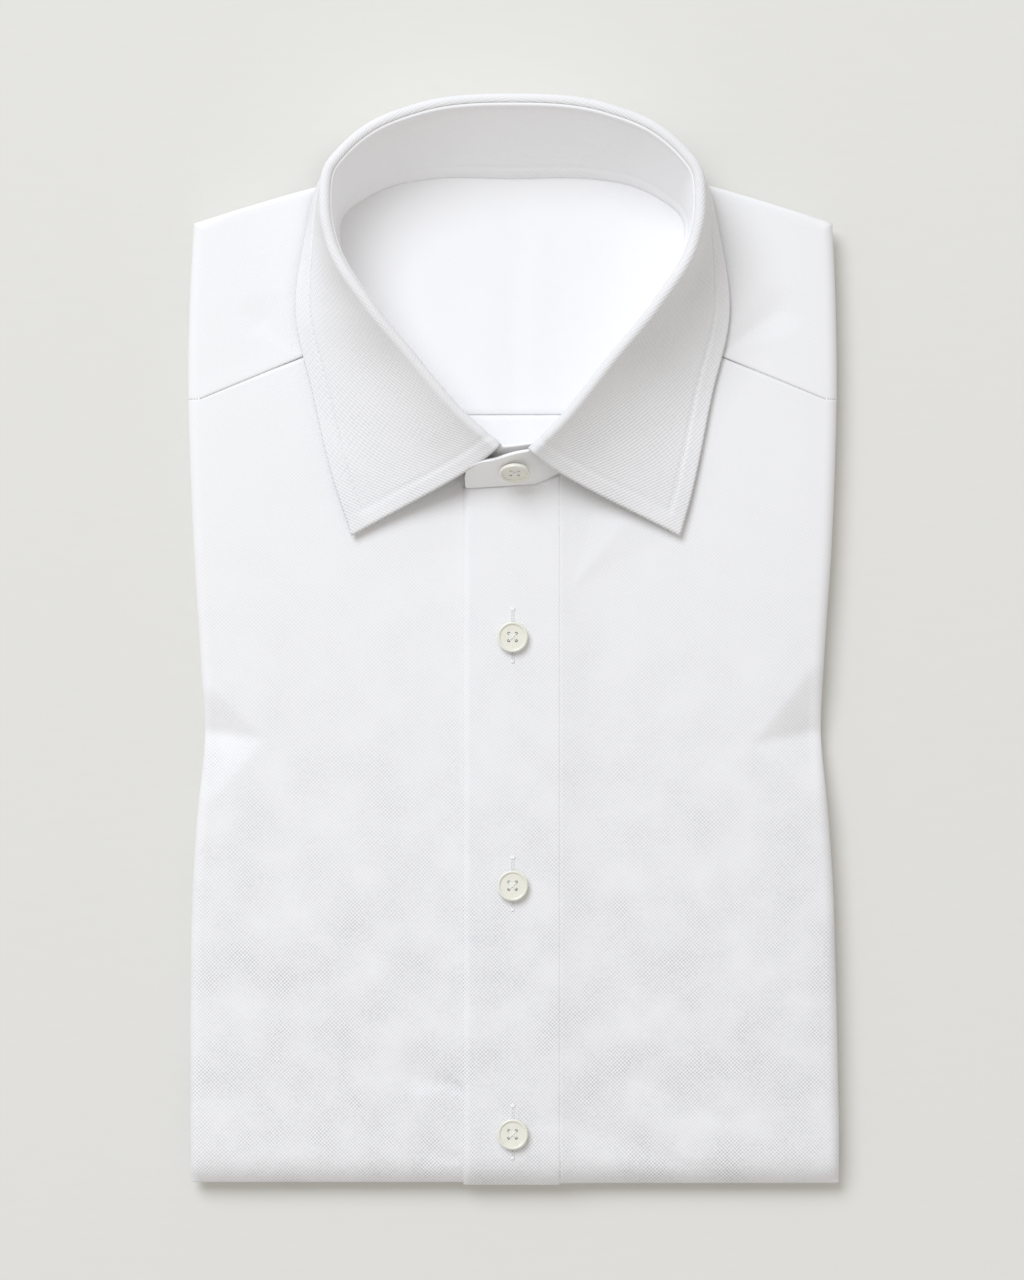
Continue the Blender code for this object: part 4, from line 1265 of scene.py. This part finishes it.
def turned_button(name, matrix):
    """The profile is spun round and four holes are drilled through the disc."""
    profile = button_profile()
    bm = bmesh.new()
    line = [bm.verts.new((radius, 0.0, z)) for radius, z in profile]
    edges = [bm.edges.new(pair) for pair in zip(line, line[1:])]
    bmesh.ops.spin(
        bm, geom=line + edges, axis=(0, 0, 1), cent=(0, 0, 0), angle=math.tau,
        steps=BUTTON_STEPS, use_merge=True,
    )
    bmesh.ops.remove_doubles(bm, verts=bm.verts, dist=MERGE_DISTANCE)
    bmesh.ops.recalc_face_normals(bm, faces=bm.faces)
    cutter = bmesh.new()
    for x in (-0.5, 0.5):
        for y in (-0.5, 0.5):
            made = bmesh.ops.create_cone(
                cutter, cap_ends=True, segments=DRILL_STEPS, radius1=BUTTON_HOLE_RADIUS,
                radius2=BUTTON_HOLE_RADIUS, depth=BUTTON_THICKNESS * 2,
            )
            spot = (x * BUTTON_HOLE_PITCH, y * BUTTON_HOLE_PITCH, 0.0)
            bmesh.ops.translate(cutter, verts=made["verts"], vec=spot)
    bmesh.ops.transform(bm, matrix=matrix, verts=bm.verts)
    button = finish_piece(bm, name, PEARL_SHELL)
    bmesh.ops.transform(cutter, matrix=matrix, verts=cutter.verts)
    mesh = bpy.data.meshes.new(name + "_drill")
    cutter.to_mesh(mesh)
    cutter.free()
    drill = new_object(name + "_drill", mesh)
    cut = button.modifiers.new("holes", "BOOLEAN")
    cut.operation = "DIFFERENCE"
    cut.object = drill
    bpy.context.view_layer.update()
    cut_mesh = bpy.data.meshes.new_from_object(
        button.evaluated_get(bpy.context.evaluated_depsgraph_get())
    )
    button.modifiers.clear()
    button.data = cut_mesh
    button.data.set_sharp_from_angle(angle=math.radians(40))
    bpy.data.objects.remove(drill)
    return button


def thread_run(bm, start, end, radius, arch=0.0):
    """A short round thread from one point to another, arched in the middle."""
    loops = []
    along = (end - start).normalized()
    cross = along.cross(UP) if abs(along.z) < 0.9 else Vector((1.0, 0.0, 0.0))
    cross.normalize()
    lift = cross.cross(along).normalized()
    if lift.z < 0:
        lift = -lift
    for k in range(THREAD_STEPS + 1):
        share = k / THREAD_STEPS
        middle = start.lerp(end, share) + lift * arch * math.sin(math.pi * share)
        ring = [
            bm.verts.new(middle + (cross * math.cos(a) + lift * math.sin(a)) * radius)
            for a in (math.tau * n / THREAD_SIDES for n in range(THREAD_SIDES))
        ]
        loops.append(ring_edges(bm, ring))
    close_tube(bm, loops)
    bmesh.ops.recalc_face_normals(bm, faces=bm.faces)


def button_thread(name, matrix):
    """Crossed stitches over the face, and the wrapped shank under the button."""
    bm = bmesh.new()
    half = BUTTON_THICKNESS / 2.0
    reach = BUTTON_HOLE_PITCH / 2.0
    face = half - RIM_HEIGHT
    for sign in (-1, 1):
        for offset in (-THREAD_HALF_GAP, THREAD_HALF_GAP):
            side = Vector((offset, offset * sign, face - THREAD_SINK))
            across = Vector((reach, sign * reach, 0.0))
            thread_run(bm, side - across, side + across, THREAD_RADIUS, THREAD_ARCH)
    for x in (-1, 1):
        for y in (-1, 1):
            foot = Vector((x * reach * SHANK_SHARE, y * reach * SHANK_SHARE, -half - SHANK_FOOT))
            head = Vector((x * reach, y * reach, face - SHANK_FOOT))
            thread_run(bm, foot, head, THREAD_RADIUS * SHANK_THICKNESS)
    bmesh.ops.transform(bm, matrix=matrix, verts=bm.verts)
    return finish_piece(bm, name, SEWING_THREAD)


def button_places():
    """Node, place and tilt of each button; the collar's leans back with the stand."""
    lift = LAYER_GAP + BUTTON_THICKNESS / 2.0
    for index in range(3):
        y = BUTTON_FIRST_Y - index * BUTTON_PITCH
        yield f"button_front_{index + 1}", Vector((BUTTON_X, y, BODY_TOP + LAYER_STEP + lift)), 0.0
    bx, by, tx, ty, tz = OVER_END[0]
    top = Vector((tx, ty, tz))
    base = Vector((bx, by, placket_height(bx, by) + SEAM_GAP))
    slant = top - base
    face = Vector((0.0, -slant.z, slant.y)).normalized()
    seat = base + slant * COLLAR_BUTTON_RISE
    place = seat + face * (COLLAR_WALL / 2.0 + COLLAR_BUTTON_SHANK + lift)
    yield "button_collar", place, math.atan2(slant.z, slant.y)


for node, place, tilt in button_places():
    matrix = Matrix.Translation(place) @ Matrix.Rotation(tilt, 4, "X")
    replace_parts(turned_button(node + "_shell", matrix), node)
    button_thread(node + "_thread", matrix)

# The buttonholes
# Worked upright in the placket: two close rows of zigzag stitches either side of the
# slit; the stand's level one is not made. Only their ends show past the buttons.
HOLE_LENGTH = 0.0184
HOLE_STITCHES = 34
HOLE_WIDTH = 0.0006
HOLE_SLIT = 0.00015
HOLE_SLANT = 0.00012
HOLE_THREAD = (0.00020, 0.00012)
HOLE_SHIFT = 0.0006
HOLE_RISE = 0.00005
BAR_WIDTH = 0.0009
BAR_PITCH = 0.0003
BAR_THREAD = (0.00024, 0.00020)


def buttonhole(name, place):
    bm = bmesh.new()
    for side in (-1, 1):
        for k in range(HOLE_STITCHES):
            y = blend(-HOLE_LENGTH / 2, HOLE_LENGTH / 2, (k + 0.5) / HOLE_STITCHES)
            start = Vector((side * HOLE_SLIT, y, 0.0))
            end = Vector((side * HOLE_WIDTH, y + HOLE_SLANT, 0.0))
            thread_run(bm, start, end, *HOLE_THREAD)
    for end in (-1, 1):
        for k in range(3):
            y = end * (HOLE_LENGTH / 2 + BAR_PITCH * k)
            reach = BAR_WIDTH if end > 0 else HOLE_WIDTH
            thread_run(bm, Vector((-reach, y, 0.0)), Vector((reach, y, 0.0)), *BAR_THREAD)
    bmesh.ops.translate(bm, verts=bm.verts, vec=place)
    return finish_piece(bm, name, SEWING_THREAD)


for index in range(3):
    hole_y = BUTTON_FIRST_Y - index * BUTTON_PITCH + HOLE_SHIFT
    height = placket_height(BUTTON_X, hole_y) + HOLE_RISE
    buttonhole(f"buttonhole_{index + 1}", Vector((BUTTON_X, hole_y, height)))

# The topstitching
# One row of short lockstitches follows the collar's edge, lying in the pressed groove.
STITCH_LENGTH = 0.0021
STITCH_GAP = 0.0005
STITCH_RADIUS = 0.00010
STITCH_ARCH = 0.00006
STITCH_LIFT = 0.00008
LINE_BREAK = 0.01


def stitch_path():
    """Points of the groove on the leaf's outer face, from one front end to the other."""
    mesh = LEAF.data
    distances = edge_distances(mesh, LEAF_COLUMNS, LEAF_ROWS)
    width = LEAF_COLUMNS + 1
    points = []
    for i in range(width):
        column = [(j, distances[j * width + i]) for j in range(LEAF_ROWS // 5, LEAF_ROWS + 1)]
        crossing = None
        for (j, away), (_, after) in zip(column, column[1:]):
            if away >= TOPSTITCH > after:
                share = (away - TOPSTITCH) / (away - after)
                low = mesh.vertices[j * width + i]
                high = mesh.vertices[(j + 1) * width + i]
                normal = low.normal.lerp(high.normal, share).normalized()
                crossing = low.co.lerp(high.co, share) + normal * (LEAF_CLOTH / 2 + STITCH_LIFT)
        if crossing is not None:
            points.append(crossing)
    return points


def run_stitches(name, points):
    bm = bmesh.new()
    travelled = 0.0
    start = None
    for a, b in zip(points, points[1:]):
        span = (b - a).length
        if span > LINE_BREAK:
            start = None
            continue
        if start is None:
            start = a
            travelled = 0.0
        travelled += span
        if travelled >= STITCH_LENGTH:
            thread_run(bm, start, b, STITCH_RADIUS, STITCH_ARCH)
            start = b + (b - start).normalized() * STITCH_GAP
            travelled = 0.0
    return finish_piece(bm, name, SEWING_THREAD)


TOPSTITCHING = run_stitches("collar_topstitching", stitch_path())

boxes = {"cad": CAD_BOX, "visual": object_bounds()}
{key: [list(map(float, corner)) for corner in box] for key, box in boxes.items()}
